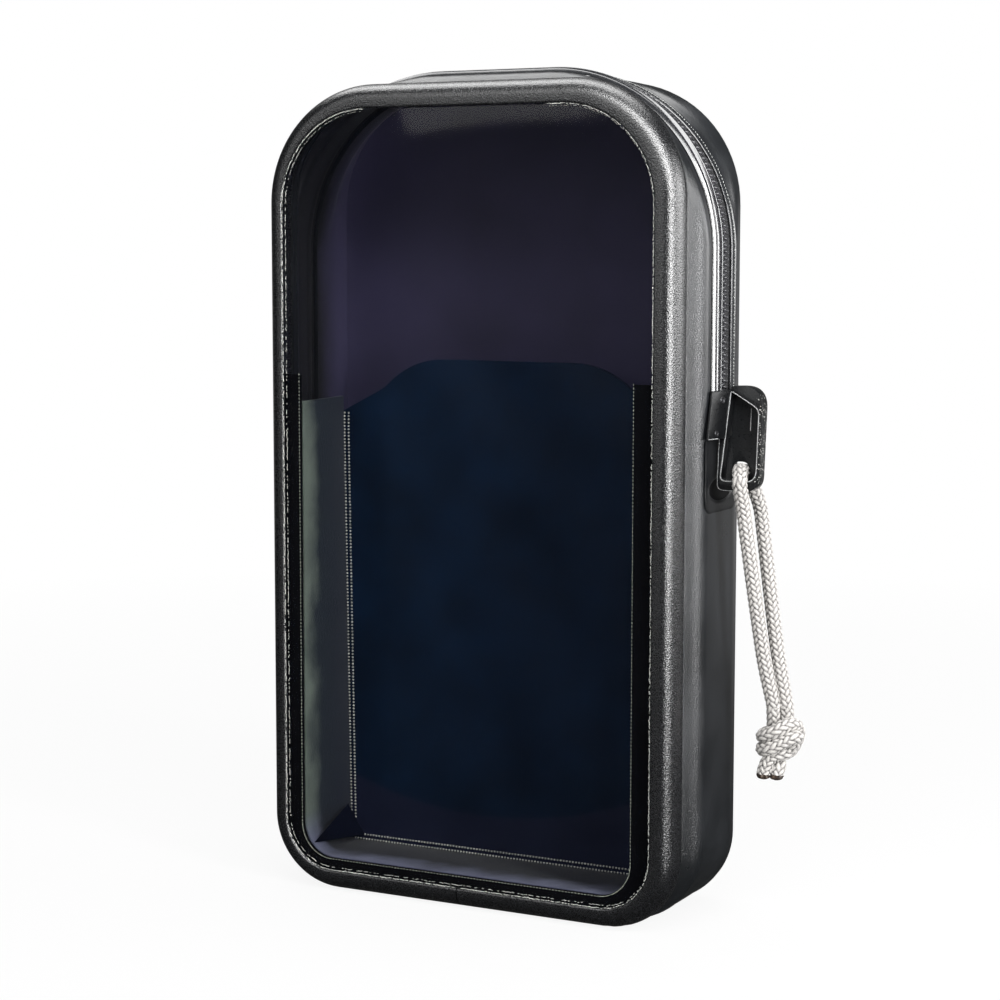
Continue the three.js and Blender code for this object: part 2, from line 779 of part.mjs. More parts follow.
// A round cord through points, with its section carried along without twist
function cordAlong(points) {
  const curve = new THREE.CatmullRomCurve3(points, false, 'centripetal');
  const turns = Array.from({ length: cordSides }, (unused, i) => i * Math.PI * 2 / cordSides);
  const section = new THREE.Shape(turns.map((turn) => new THREE.Vector2(
    cordDiameter / 2 * Math.cos(turn),
    cordDiameter / 2 * Math.sin(turn),
  )));
  return new THREE.ExtrudeGeometry(section, { extrudePath: curve, steps: 40, bevelEnabled: false });
}

function pullCord() {
  return cordAlong(cordRoute());
}

function pullKnot() {
  const points = cordRoute();
  const ends = [points[0], points[points.length - 1]];
  const centre = ends[0].clone().add(ends[1]).multiplyScalar(0.5);
  centre.z -= knotHeight / 2 + seatGap;
  const lump = new THREE.SphereGeometry(0.5, 14, 9);
  lump.scale(knotWidth, knotThickness, knotHeight);
  lump.translate(centre.x, centre.y, centre.z);
  const tails = [-1, 1].map((side) => {
    const tail = new THREE.CylinderGeometry(cordDiameter / 2, cordDiameter / 2, tailLength, cordSides);
    tail.rotateX(Math.PI / 2);
    const x = centre.x - tailShift + side * tailSpread;
    tail.translate(x, centre.y + side * tailStagger, centre.z - (knotHeight + tailLength) / 2 + tailShift);
    return tail;
  });
  return join(lump, ...tails);
}

// Assembly

function piece(name, geometry, finishName) {
  const [color, roughness, metalness] = finishes[finishName];
  const material = new THREE.MeshStandardMaterial({ color, roughness, metalness });
  const mesh = new THREE.Mesh(geometry, material);
  mesh.name = name;
  return mesh;
}

const zipperRun = zipperStations(lipEndHeight, lipEndHeight);
const tapeRun = zipperStations(tapeEndHeight, tapeEndHeight);
const frontTape = band(tapeBottom, tapeTop, channelFront + seatGap, tapeFrontEdge);
const rearTape = band(tapeBottom, tapeTop, tapeRearEdge, channelRear - seatGap);

const pouch = new THREE.Group();
pouch.add(
  piece('body_shell', bodyShell(), 'shell'),
  piece('front_rim', frontRim(), 'grainedRim'),
  piece('front_window', frontWindow(), 'clearSheet'),
  piece('pocket_binding', pocketBinding(), 'binding'),
  piece('pocket_gusset', pocketGusset(), 'lining'),
  piece('pocket_panel', pocketPanel(), 'lining'),
  piece('zipper_tape_front', swept(tapeRun, frontTape), 'tape'),
  piece('zipper_tape_rear', swept(tapeRun, rearTape), 'tape'),
  piece('zipper_lip_front', swept(zipperRun, lipFront()), 'lip'),
  piece('zipper_lip_rear', swept(zipperRun, lipRear()), 'lip'),
  piece('zipper_teeth_front', teethRow(-1), 'coil'),
  piece('zipper_teeth_rear', teethRow(1), 'coil'),
  piece('end_dock_right', endDock(1), 'dock'),
  piece('end_dock_left', endDock(-1), 'dock'),
);

const slider = new THREE.Group();
const [upperPin, lowerPin] = pinHeights();
slider.add(
  piece('slider_grip', sliderGrip(), 'slider'),
  piece('slider_core', sliderCore(), 'steelPin'),
  piece('slider_pin_upper', sliderPin(upperPin), 'steelPin'),
  piece('slider_pin_lower', sliderPin(lowerPin), 'steelPin'),
  piece('pull_cord', pullCord(), 'cord'),
  piece('pull_knot', pullKnot(), 'cord'),
);
pouch.add(slider);
pouch.position.y = -bodyDepth / 2;

export default pouch;
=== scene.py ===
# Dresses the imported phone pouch: shell, rim, window, inner pocket, zipper, slider and pull cord.
# Sizes are millimetres, as x, depth behind the rim's front face, and z. Colours are sRGB hex.
import json
import math

import bmesh
import bpy
import numpy as np
from mathutils import Matrix, Vector

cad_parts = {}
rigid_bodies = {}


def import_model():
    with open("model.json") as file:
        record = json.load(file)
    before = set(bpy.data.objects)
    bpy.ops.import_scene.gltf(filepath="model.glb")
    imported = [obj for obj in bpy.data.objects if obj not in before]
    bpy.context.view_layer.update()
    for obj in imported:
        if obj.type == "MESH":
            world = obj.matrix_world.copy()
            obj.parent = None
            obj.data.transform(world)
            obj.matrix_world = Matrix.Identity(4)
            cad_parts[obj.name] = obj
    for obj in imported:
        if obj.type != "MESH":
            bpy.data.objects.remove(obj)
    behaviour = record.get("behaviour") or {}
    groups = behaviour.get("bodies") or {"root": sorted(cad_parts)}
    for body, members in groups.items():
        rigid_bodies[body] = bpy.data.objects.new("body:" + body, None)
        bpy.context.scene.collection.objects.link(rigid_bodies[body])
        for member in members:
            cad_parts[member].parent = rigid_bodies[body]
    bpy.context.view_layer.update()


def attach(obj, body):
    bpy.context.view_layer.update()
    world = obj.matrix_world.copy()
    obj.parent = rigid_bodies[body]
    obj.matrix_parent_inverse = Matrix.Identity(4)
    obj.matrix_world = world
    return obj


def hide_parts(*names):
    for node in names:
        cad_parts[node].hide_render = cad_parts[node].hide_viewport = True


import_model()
print("frame loaded")

pouch = {"width": 110, "height": 199, "depth": 40}
sharpAngle = math.radians(38)


def toMetres(points):
    places = np.array(points, float).reshape(-1, 3)
    places[:, 1] -= pouch["depth"] / 2
    return places * 0.001


def perMetre(millimetres):
    return 1000 / millimetres  # a texture scale for cells of that size


def linear(hexColour):
    channels = [int(hexColour[i:i + 2], 16) / 255 for i in (1, 3, 5)]
    return tuple(c / 12.92 if c <= 0.04045 else ((c + 0.055) / 1.055) ** 2.4 for c in channels) + (1,)


def addNode(tree, kind, inputs=None, **settings):
    node = tree.nodes.new(kind)
    for name, value in settings.items():
        setattr(node, name, value)
    for name, value in (inputs or {}).items():
        if isinstance(value, bpy.types.NodeSocket):
            tree.links.new(value, node.inputs[name])
        else:
            node.inputs[name].default_value = value
    return node


def addObject(name, data):
    made = bpy.data.objects.new(name, data)
    bpy.context.scene.collection.objects.link(made)
    return made


# Camera

# Place in metres, angles in radians, lens and sensor in millimetres
view = {"place": (0.2644, -0.5102, 0.1604), "yaw": 0.4781, "pitch": 0.1077, "roll": 0.0012, "lens": 84.72, "sensor": 36}


def placeCamera():
    camera = addObject("camera", bpy.data.cameras.new("camera"))
    camera.data.lens = view["lens"]
    camera.data.sensor_width = view["sensor"]
    camera.data.clip_start = 0.01
    camera.data.clip_end = 50
    yaw, pitch, roll = view["yaw"], view["pitch"], view["roll"]
    forward = Vector((-math.sin(yaw) * math.cos(pitch), math.cos(yaw) * math.cos(pitch), -math.sin(pitch)))
    level = forward.cross(Vector((0, 0, 1))).normalized()
    upright = level.cross(forward)
    right = level * math.cos(roll) + upright * math.sin(roll)
    up = upright * math.cos(roll) - level * math.sin(roll)
    camera.matrix_world = Matrix.Translation(view["place"]) @ Matrix((right, up, -forward)).transposed().to_4x4()
    bpy.context.scene.camera = camera


placeCamera()
print("camera placed")


# Materials

def startMaterial(name, shaderInputs):
    material = bpy.data.materials.new(name)
    material.use_nodes = True
    tree = material.node_tree
    shader = tree.nodes["Principled BSDF"]
    for socket, value in shaderInputs.items():
        shader.inputs[socket].default_value = value
    place = addNode(tree, "ShaderNodeTexCoord").outputs["Object"]
    return material, tree, shader, place


def feed(tree, shader, socket, value):
    tree.links.new(value, shader.inputs[socket])


def noiseAt(tree, place, size, detail=2.0, roughness=0.5):
    settings = {"Vector": place, "Scale": perMetre(size), "Detail": detail, "Roughness": roughness}
    return addNode(tree, "ShaderNodeTexNoise", settings).outputs["Fac"]


def rampOf(tree, value, stops):
    ramp = addNode(tree, "ShaderNodeValToRGB", {"Fac": value})
    elements = ramp.color_ramp.elements
    while len(elements) < len(stops):
        elements.new(0.5)
    for element, (position, colour) in zip(elements, stops):
        element.position = position
        element.color = linear(colour)
    return ramp.outputs["Color"]


def rangeOf(tree, value, fromLow, fromHigh, toLow, toHigh):
    spans = {"From Min": fromLow, "From Max": fromHigh, "To Min": toLow, "To Max": toHigh}
    return addNode(tree, "ShaderNodeMapRange", {"Value": value, **spans}).outputs["Result"]


def spreadOf(tree, noise, low, high):
    return rangeOf(tree, noise, 0.3, 0.7, low, high)  # noise seldom leaves that span


def arithmetic(tree, operation, first, second):
    return addNode(tree, "ShaderNodeMath", {0: first, 1: second}, operation=operation).outputs["Value"]


def vectorOf(tree, operation, first, second=(0, 0, 0), output="Vector"):
    return addNode(tree, "ShaderNodeVectorMath", {0: first, 1: second}, operation=operation).outputs[output]


def axisOf(tree, place, axis):
    return addNode(tree, "ShaderNodeSeparateXYZ", {"Vector": place}).outputs[axis]


def cellsAt(tree, place, size):
    return addNode(tree, "ShaderNodeTexVoronoi", {"Vector": place, "Scale": perMetre(size)}).outputs["Distance"]


def mixOf(tree, share, first, second):
    inputs = {"Factor": share, "A": first, "B": second}
    return addNode(tree, "ShaderNodeMix", inputs, data_type="RGBA").outputs["Result"]


def bumpOn(tree, shader, height, distance):
    bump = addNode(tree, "ShaderNodeBump", {"Height": height, "Distance": distance * 0.001, "Strength": 1.0})
    feed(tree, shader, "Normal", bump.outputs["Normal"])


grain = {
    "gritSize": 0.27, "gritRelief": 0.06, "colours": [(0.3, "#030304"), (0.52, "#0b0c0e"), (0.78, "#222327")],
    "roughness": (0.2, 0.34), "specular": 1.0, "coat": (0.5, 0.34),  # how much of it, and how rough
}


def grainedRubber():
    # Sandblasted mould on rubber: every grit catches its own spark, so the highlights look sandy
    coat, coatRoughness = grain["coat"]
    material, tree, shader, place = startMaterial("grained_moulded_rubber", {
        "IOR": 1.55, "Specular IOR Level": grain["specular"], "Coat Weight": coat, "Coat Roughness": coatRoughness})
    grit = noiseAt(tree, place, grain["gritSize"], 1.5, 0.6)
    feed(tree, shader, "Base Color", rampOf(tree, grit, grain["colours"]))
    feed(tree, shader, "Roughness", spreadOf(tree, grit, *grain["roughness"]))
    relief = arithmetic(tree, "ADD", grit, cellsAt(tree, place, grain["gritSize"] * 1.3))
    bumpOn(tree, shader, relief, grain["gritRelief"])
    return material


skin = {
    "colours": [(0.3, "#0e1012"), (0.7, "#1b1d20")], "cloudSize": 14, "roughness": (0.27, 0.38), "specular": 0.9,
    "gritSize": 0.28, "gritRelief": 0.08, "poreSize": 0.55, "poreRelief": 0.015,
    "gritEnds": (-0.0075, -0.005),  # metres: the depths between which the grit runs out
}


def satinShell():
    # Foam-backed TPU skin from a polished mould: satin, sandy only beside the rim
    inputs = {"IOR": 1.5, "Specular IOR Level": skin["specular"]}
    material, tree, shader, place = startMaterial("satin_moulded_tpu", inputs)
    cloud = noiseAt(tree, place, skin["cloudSize"], 3)
    feed(tree, shader, "Base Color", rampOf(tree, cloud, skin["colours"]))
    feed(tree, shader, "Roughness", spreadOf(tree, cloud, *skin["roughness"]))
    sandy = rangeOf(tree, axisOf(tree, place, "Y"), *skin["gritEnds"], 1, 0)
    grit = arithmetic(tree, "MULTIPLY", noiseAt(tree, place, skin["gritSize"], 1.5, 0.6), sandy)
    share = skin["poreRelief"] / skin["gritRelief"]
    pores = arithmetic(tree, "MULTIPLY", noiseAt(tree, place, skin["poreSize"]), share)
    bumpOn(tree, shader, arithmetic(tree, "ADD", grit, pores), skin["gritRelief"])
    return material


sheet = {"tint": "#05070d", "alpha": 0.2, "roughness": 0.04, "waveSize": 60, "waveRelief": 0.2}


def clearSheet():
    # Calendered clear TPU sheet: see-through, glossy, with a slow wave in its reflections
    material, tree, shader, place = startMaterial("clear_calendered_tpu", {
        "Base Color": linear(sheet["tint"]), "Roughness": sheet["roughness"], "IOR": 1.5, "Alpha": sheet["alpha"]})
    bumpOn(tree, shader, noiseAt(tree, place, sheet["waveSize"], 1), sheet["waveRelief"])
    return material


cloth = {
    "threadSize": 0.9, "threadRelief": 0.02,
    # liner: darker towards the front as painted shade, paler towards the back as painted light
    "liner": [(0.2, "#08080e"), (0.68, "#2f2c45"), (0.95, "#3a3654")], "linerPaintedLightDepths": (0.002, 0.014),  # metres
    # Side cloth colours, walls and bottom: painted light beside the strip, painted shade down at the seam
    "side": [(0.0, "#737e75"), (0.32, "#1b252f"), (0.85, "#121b2b")], "sidePaintedLightDepths": (-0.016, 0.01),  # metres
    "sideLowPaintedLight": [(0.04, "#747891"), (0.36, "#11141d"), (0.9, "#10131f")], "sidePaintedLightHeights": (0.011, 0.018),  # metres
    "panel": [(0.3, "#061527"), (0.7, "#0a1f37")],
    # Greyer colours of the painted light low on the panel, and the heights over which it fades
    "panelPaintedLight": [(0.3, "#171b2e"), (0.7, "#1e2338")], "panelPaintedLightHeights": (0.05, 0.08),  # metres
    # The ellipse outside which the painted light falls, and the softness of its painted shadow edge
    "paintedLightEllipse": (-9, 130, 112, 114), "paintedShadowEdge": (0.995, 1.003),  # right, up, half width, half height
    # fold: near-black navy, a painted shade for the corner
    "fold": [(0.3, "#04060f"), (0.7, "#080c1c")],
    "binding": [(0.3, "#030304"), (0.7, "#070709")],
    "tape": [(0.3, "#0d0d0f"), (0.7, "#17171a")],
}


def weaveOn(tree, shader, place, relief=1.0, size=1.0, roughness=0.6):
    weave = noiseAt(tree, place, cloth["threadSize"] * size, 2, roughness)
    bumpOn(tree, shader, weave, cloth["threadRelief"] * relief)


def wovenCloth(name, stops, roughness, sheen, relief, specular):
    # Coated plain weave: the coating fills it, so only a faint cloud of threads breaks the shine
    material, tree, shader, place = startMaterial(name, {
        "Roughness": roughness, "Sheen Weight": sheen, "Sheen Roughness": 0.4, "IOR": 1.45,
        "Specular IOR Level": specular})
    feed(tree, shader, "Base Color", rampOf(tree, noiseAt(tree, place, 18, 3), stops))
    weaveOn(tree, shader, place, relief)
    return material


def linerCloth():
    # Coated liner cloth: painted shade keeps it nearly black on the walls, painted light makes it slate violet on the
    # back where light reaches it
    inputs = {"Roughness": 0.5, "Sheen Weight": 0.1, "IOR": 1.45}
    material, tree, shader, place = startMaterial("coated_liner_cloth", inputs)
    lit = rangeOf(tree, axisOf(tree, place, "Y"), *cloth["linerPaintedLightDepths"], 0, 0.8)
    share = arithmetic(tree, "ADD", lit, spreadOf(tree, noiseAt(tree, place, 22, 3), -0.12, 0.12))
    feed(tree, shader, "Base Color", rampOf(tree, share, cloth["liner"]))
    weaveOn(tree, shader, place)
    return material


def panelCloth():
    # Coated panel cloth: deep navy, with painted light that makes it greyer at the bottom, outside an ellipse whose
    # edge is a painted shadow edge
    inputs = {"Roughness": 0.42, "Specular IOR Level": 0.2}
    material, tree, shader, place = startMaterial("coated_panel_cloth", inputs)
    right, up, halfWidth, halfHeight = (v * 0.001 for v in cloth["paintedLightEllipse"])
    offset = vectorOf(tree, "SUBTRACT", place, (right, 0, up))
    scaled = vectorOf(tree, "MULTIPLY", offset, (1 / halfWidth, 0, 1 / halfHeight))
    # painted light: outside the ellipse and low on the panel the cloth turns greyer
    outside = rangeOf(tree, vectorOf(tree, "LENGTH", scaled, output="Value"), *cloth["paintedShadowEdge"], 0, 1)
    low = rangeOf(tree, axisOf(tree, place, "Z"), *cloth["panelPaintedLightHeights"], 1, 0)
    cloud = noiseAt(tree, place, 18, 3)
    upper, lower = (rampOf(tree, cloud, cloth[key]) for key in ("panel", "panelPaintedLight"))
    feed(tree, shader, "Base Color", mixOf(tree, arithmetic(tree, "MULTIPLY", outside, low), upper, lower))
    weaveOn(tree, shader, place, 0.4)
    return material


def nappedCloth():
    # Napped side cloth: painted light makes it chalky beside the strip, painted shade makes it deep navy down at the
    # seam
    inputs = {"Roughness": 0.42, "Sheen Weight": 0.1}
    material, tree, shader, place = startMaterial("napped_side_cloth_painted_light", inputs)
    # painted light near the front edge, painted shade towards the seam
    wearAndPaintedLight = rangeOf(tree, axisOf(tree, place, "Y"), *cloth["sidePaintedLightDepths"], 0, 1)
    share = arithmetic(tree, "ADD", wearAndPaintedLight, spreadOf(tree, noiseAt(tree, place, 9, 3), -0.1, 0.1))
    upper, lower = (rampOf(tree, share, cloth[key]) for key in ("side", "sideLowPaintedLight"))
    # the bottom takes the bluish colours: painted light where the cloth faces up
    low = rangeOf(tree, axisOf(tree, place, "Z"), *cloth["sidePaintedLightHeights"], 1, 0)
    feed(tree, shader, "Base Color", mixOf(tree, low, upper, lower))
    weaveOn(tree, shader, place, 6, 0.6, 0.7)
    return material


def mottled(name, inputs, size, detail, stops, roughness=None, relief=0):
    material, tree, shader, place = startMaterial(name, inputs)
    spots = noiseAt(tree, place, size, detail)
    feed(tree, shader, "Base Color", rampOf(tree, spots, stops))
    if roughness:
        feed(tree, shader, "Roughness", spreadOf(tree, spots, *roughness))
    if relief:
        bumpOn(tree, shader, spots, relief)
    return material


mould = {"speckSize": 0.3, "speckRelief": 0.02, "unevenness": 0.12}


def mouldedPlastic(name, dark, pale, roughness, relief=1.0, specular=0.5):
    # Injection-moulded from a spark-eroded tool: even black with a very fine grain
    inputs = {"IOR": 1.5, "Specular IOR Level": specular}
    stops, spans = [(0.35, dark), (0.75, pale)], (roughness, roughness + mould["unevenness"])
    return mottled(name, inputs, mould["speckSize"], 2, stops, spans, mould["speckRelief"] * relief)


yarn = {
    "fibreSize": 0.27, "fibreRelief": 0.03, "fuzz": 0.16,
    # colours from crevice to crown: the dark crevice colour is painted shade
    "colours": [(0.16, "#24211f"), (0.42, "#7d7a78"), (0.85, "#aba8a4")],
}


def braidedPolyester():
    # Round braid of twisted polyester yarn: pale crowns, crevices darkened by strand height as painted shade, faint
    # fuzz of fibres
    inputs = {"Roughness": 0.62, "Sheen Weight": 0.25}
    material, tree, shader, place = startMaterial("braided_polyester", inputs)
    height = addNode(tree, "ShaderNodeAttribute", attribute_name="strandHeight").outputs["Fac"]
    fibre = noiseAt(tree, place, yarn["fibreSize"], 3, 0.7)
    mixed = arithmetic(tree, "ADD", height, spreadOf(tree, fibre, -yarn["fuzz"], yarn["fuzz"]))
    feed(tree, shader, "Base Color", rampOf(tree, mixed, yarn["colours"]))
    bumpOn(tree, shader, fibre, yarn["fibreRelief"])
    return material


speck = {
    "colours": [(0.35, "#08090a"), (0.75, "#141517")], "wearAndPaintedLight": "#b3b3af", "size": 0.5, "edge": (0.2, 0.3),
    "patchSize": 2.2, "patches": (0.42, 0.48), "bandStarts": (0.0668, 0.0674),  # metres
    "roughness": (0.26, 0.4), "relief": 0.02,
}


def mouldedAcetal():
    # Injection-moulded acetal: even black, its outer band nicked with pale specks
    inputs = {"IOR": 1.48, "Specular IOR Level": 0.35}
    material, tree, shader, place = startMaterial("moulded_acetal", inputs)
    fine = noiseAt(tree, place, 0.35, 2)
    nick = rangeOf(tree, cellsAt(tree, place, speck["size"]), *speck["edge"], 1, 0)
    patch = rangeOf(tree, noiseAt(tree, place, speck["patchSize"], 2), *speck["patches"], 0, 1)
    band = rangeOf(tree, axisOf(tree, place, "X"), *speck["bandStarts"], 0, 1)
    amount = arithmetic(tree, "MULTIPLY", arithmetic(tree, "MULTIPLY", nick, patch), band)
    colour = mixOf(tree, amount, rampOf(tree, fine, speck["colours"]), linear(speck["wearAndPaintedLight"]))
    feed(tree, shader, "Base Color", colour)
    feed(tree, shader, "Roughness", spreadOf(tree, fine, *speck["roughness"]))
    bumpOn(tree, shader, fine, speck["relief"])
    return material


def meltedPolyester():
    # Heat-sealed cord end: the yarns fused into a dark glassy bead
    stops = [(0.35, "#17120f"), (0.75, "#57493d")]
    return mottled("melted_polyester", {"Roughness": 0.35}, 0.8, 3, stops, relief=0.12)


def blackenedSteel():
    # Chemically blackened steel pin: dark, with a dull metal glint
    return mottled("blackened_steel", {"Metallic": 0.8}, 0.5, 3, [(0.3, "#2b2b2d"), (0.8, "#4c4c4e")], (0.32, 0.5))


def sewingThread(name, dark, pale):
    # Bonded nylon thread: each stitch has a bright crown
    return mottled(name, {"Roughness": 0.35, "Sheen Weight": 0.2}, 0.5, 2, [(0.35, dark), (0.65, pale)])


finishes = {
    "rim": grainedRubber(),
    "shell": satinShell(),
    "window": clearSheet(),
    "liner": linerCloth(),
    "side": nappedCloth(),
    "panel": panelCloth(),
    "fold": wovenCloth("folded_corner_painted_shade", cloth["fold"], 0.6, 0.0, 1.0, 0.15),
    "binding": wovenCloth("black_binding_tape", cloth["binding"], 0.6, 0.0, 1.0, 0.15),
    "tape": wovenCloth("woven_zipper_tape", cloth["tape"], 0.5, 0.1, 2.0, 0.5),
    "lip": mouldedPlastic("rolled_tpu_lip", "#1a1b1d", "#26272a", 0.13, 0.12, 1.0),
    # Black nylon with a paler speckle: the paler colour is painted glint on the loops
    "coil": mouldedPlastic("drawn_nylon_coil", "#1b1b1d", "#48484c", 0.12, 0.2, 1.0),
    # Dock plate painted darker than the shell: painted shade under the slider
    "dock": mouldedPlastic("moulded_tpu_dock", "#0b0c0e", "#141517", 0.3, 0.8),
    "slider": mouldedAcetal(),
    # Pale acetal for thin beads that are painted highlights on the slider's edges
    "edge": mouldedPlastic("painted_highlight_acetal", "#6f7071", "#a2a3a3", 0.18, 0.3),
    "steel": blackenedSteel(),
    "cord": braidedPolyester(),
    "melted": meltedPolyester(),
    # Pale thread for the panel seams, also used for the painted glints along the window's edge
    "seamThread": sewingThread("seam_thread_and_painted_glint", "#8b8d88", "#e6e7e0"),
    "tapeThread": sewingThread("bonded_tape_thread", "#3f4140", "#a4a6a2"),
    "edgeThread": sewingThread("bonded_edge_thread", "#6f776c", "#d3d8c8"),
}
print("materials made")


# Meshes

def makePiece(name, points, faces, finish, body="pouch", slot=None, replaces=(), sharp=sharpAngle):
    mesh = bpy.data.meshes.new(name)
    mesh.from_pydata(toMetres(points).tolist(), [], [list(map(int, face)) for face in faces])
    for look in finish if isinstance(finish, (list, tuple)) else [finish]:
        mesh.materials.append(finishes[look])
    piece = addObject(name, mesh)
    fixNormals(mesh)
    smoothen(mesh, sharp)
    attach(piece, body)
    if replaces:
        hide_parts(*replaces)
    return piece


def fixNormals(mesh):
    work = bmesh.new()
    work.from_mesh(mesh)
    bmesh.ops.recalc_face_normals(work, faces=work.faces)
    work.to_mesh(mesh)
    work.free()


def smoothen(mesh, sharp):
    mesh.polygons.foreach_set("use_smooth", [True] * len(mesh.polygons))
    mesh.set_sharp_from_angle(angle=sharp)


def addModifier(piece, kind, **settings):
    modifier = piece.modifiers.new(kind.lower(), kind)
    for name, value in settings.items():
        setattr(modifier, name, value)
    return modifier


def applyModifiers(piece):
    graph = bpy.context.evaluated_depsgraph_get()
    made = bpy.data.meshes.new_from_object(piece.evaluated_get(graph))
    piece.modifiers.clear()
    piece.data = made


def cutAway(piece, cutters):
    for cutter in cutters:
        addModifier(piece, "BOOLEAN", operation="DIFFERENCE", object=cutter, solver="EXACT")
    applyModifiers(piece)
    for cutter in cutters:
        bpy.data.objects.remove(cutter)


def bevelEdges(piece, width, segments=3):
    addModifier(piece, "BEVEL", width=width * 0.001, segments=segments, limit_method="ANGLE", angle_limit=sharpAngle)
    applyModifiers(piece)
    smoothen(piece.data, sharpAngle)


def ringFaces(rings, count, closedPath=False, caps=True, offset=0):
    faces = []
    spans = rings if closedPath else rings - 1
    for i in range(spans):
        low, high = i * count + offset, (i + 1) % rings * count + offset
        for j in range(count):
            k = (j + 1) % count
            faces.append((low + j, low + k, high + k, high + j))
    if caps and not closedPath:
        faces.append(tuple(offset + j for j in range(count)))
        faces.append(tuple(offset + (rings - 1) * count + j for j in reversed(range(count))))
    return faces


# Paths are rows of x, z and the outward normal

def arcPath(centreX, centreZ, radius, fromDegrees, toDegrees, steps):
    angles = np.radians(np.linspace(fromDegrees, toDegrees, steps + 1))
    nx, nz = np.cos(angles), np.sin(angles)
    return np.column_stack((centreX + radius * nx, centreZ + radius * nz, nx, nz))


def outlinePath(side, low, high, topRadius, bottomRadius, steps=20):
    return np.vstack((
        arcPath(side - bottomRadius, low + bottomRadius, bottomRadius, -90, 0, steps),
        arcPath(side - topRadius, high - topRadius, topRadius, 0, 90, steps),
        arcPath(topRadius - side, high - topRadius, topRadius, 90, 180, steps),
        arcPath(bottomRadius - side, low + bottomRadius, bottomRadius, 180, 270, steps),
    ))


def finePath(path, spacing, closed=False):
    rows = np.vstack((path, path[:1])) if closed else path
    steps = np.hypot(*np.diff(rows[:, :2], axis=0).T)
    keep = np.concatenate(([True], steps > 1e-6))
    rows, along = rows[keep], np.concatenate(([0], np.cumsum(steps[steps > 1e-6])))
    count = max(2, round(along[-1] / spacing)) + 1
    at = np.linspace(0, along[-1], count)
    fine = np.column_stack([np.interp(at, along, rows[:, i]) for i in range(4)])
    fine[:, 2:] /= np.hypot(fine[:, 2], fine[:, 3])[:, None]
    return fine[:-1] if closed else fine


def sweepPoints(path, profile):
    section = np.array(profile, float)
    points = np.empty((len(path), len(section), 3))
    points[:, :, 0] = path[:, 0:1] + path[:, 2:3] * section[:, 0]
    points[:, :, 1] = section[:, 1]
    points[:, :, 2] = path[:, 1:2] + path[:, 3:4] * section[:, 0]
    return points


def sweepPiece(name, path, profile, finish, closed=False, **rest):
    points = sweepPoints(path, profile)
    faces = ringFaces(len(path), len(profile), closedPath=closed)
    return makePiece(name, points, faces, finish, **rest)


def roundedProfile(corners, steps=4):
    # Corners are outward, depth and how far the rounding reaches from the corner
    points = []
    for i, (u, v, reach) in enumerate(corners):
        here = np.array((u, v), float)
        if reach == 0:
            points.append(here)
            continue
        before = np.array(corners[i - 1][:2], float)
        after = np.array(corners[(i + 1) % len(corners)][:2], float)
        start = here + (before - here) / np.linalg.norm(before - here) * reach
        end = here + (after - here) / np.linalg.norm(after - here) * reach
        for t in np.linspace(0, 1, steps + 1):
            points.append(start * (1 - t) ** 2 + here * 2 * t * (1 - t) + end * t * t)
    return np.array(points)


def smoothLine(points, steps, closed=False):
    rows = np.array(points, float)
    count = len(rows)
    spans = count if closed else count - 1
    at = lambda i: rows[i % count] if closed else rows[min(max(i, 0), count - 1)]
    made = []
    for i in range(spans):
        a, b, c, d = at(i - 1), at(i), at(i + 1), at(i + 2)
        for t in np.arange(steps) / steps:
            square, cube = 2 * a - 5 * b + 4 * c - d, 3 * b - a - 3 * c + d
            made.append(0.5 * (2 * b + (c - a) * t + square * t ** 2 + cube * t ** 3))
    if not closed:
        made.append(rows[-1])
    return np.array(made)


def unit(rows):
    return rows / np.linalg.norm(rows, axis=-1, keepdims=True)


def beadTemplate(sides, rings):
    points, faces = [(0, 0, -1)], []
    for i in range(1, rings + 1):
        polar = math.pi * i / (rings + 1)
        for j in range(sides):
            turn = math.tau * j / sides
            points.append((math.sin(polar) * math.cos(turn), math.sin(polar) * math.sin(turn), -math.cos(polar)))
    points.append((0, 0, 1))
    last = len(points) - 1
    for j in range(sides):
        k = (j + 1) % sides
        faces.append((0, 1 + k, 1 + j))
        for i in range(rings - 1):
            low, high = 1 + i * sides, 1 + (i + 1) * sides
            faces.append((low + j, low + k, high + k, high + j))
        faces.append((last - sides + j, last - sides + k, last))
    return np.array(points), faces


def beadsPiece(name, centres, across, outward, along, sizes, finish, sides=6, rings=3, **rest):
    # One bead at each centre; sizes are its half lengths across, outward and along
    template, faces = beadTemplate(sides, rings)
    scaled = template * np.array(sizes)
    axes = np.stack((across, outward, along), axis=1)
    points = np.einsum("pk,nkc->npc", scaled, axes) + np.array(centres)[:, None, :]
    count = len(template)
    allFaces = [tuple(n * count + index for index in face) for n in range(len(centres)) for face in faces]
    return makePiece(name, points, allFaces, finish, **rest)


def pathAxes(path):
    outward = np.column_stack((path[:, 2], np.zeros(len(path)), path[:, 3]))
    depth = np.tile((0.0, 1.0, 0.0), (len(path), 1))
    return depth, outward, np.cross(depth, outward)


def placesOn(path, outward, depth):
    x, z, outX, outZ = path.T
    return np.column_stack((x + outX * outward, np.full(len(path), depth), z + outZ * outward))


def stitchRow(name, row, outward, depth, sizes, finish, slot):
    beadsPiece(name, placesOn(row, outward, depth), *pathAxes(row), sizes, finish, slot=slot)


# Shell

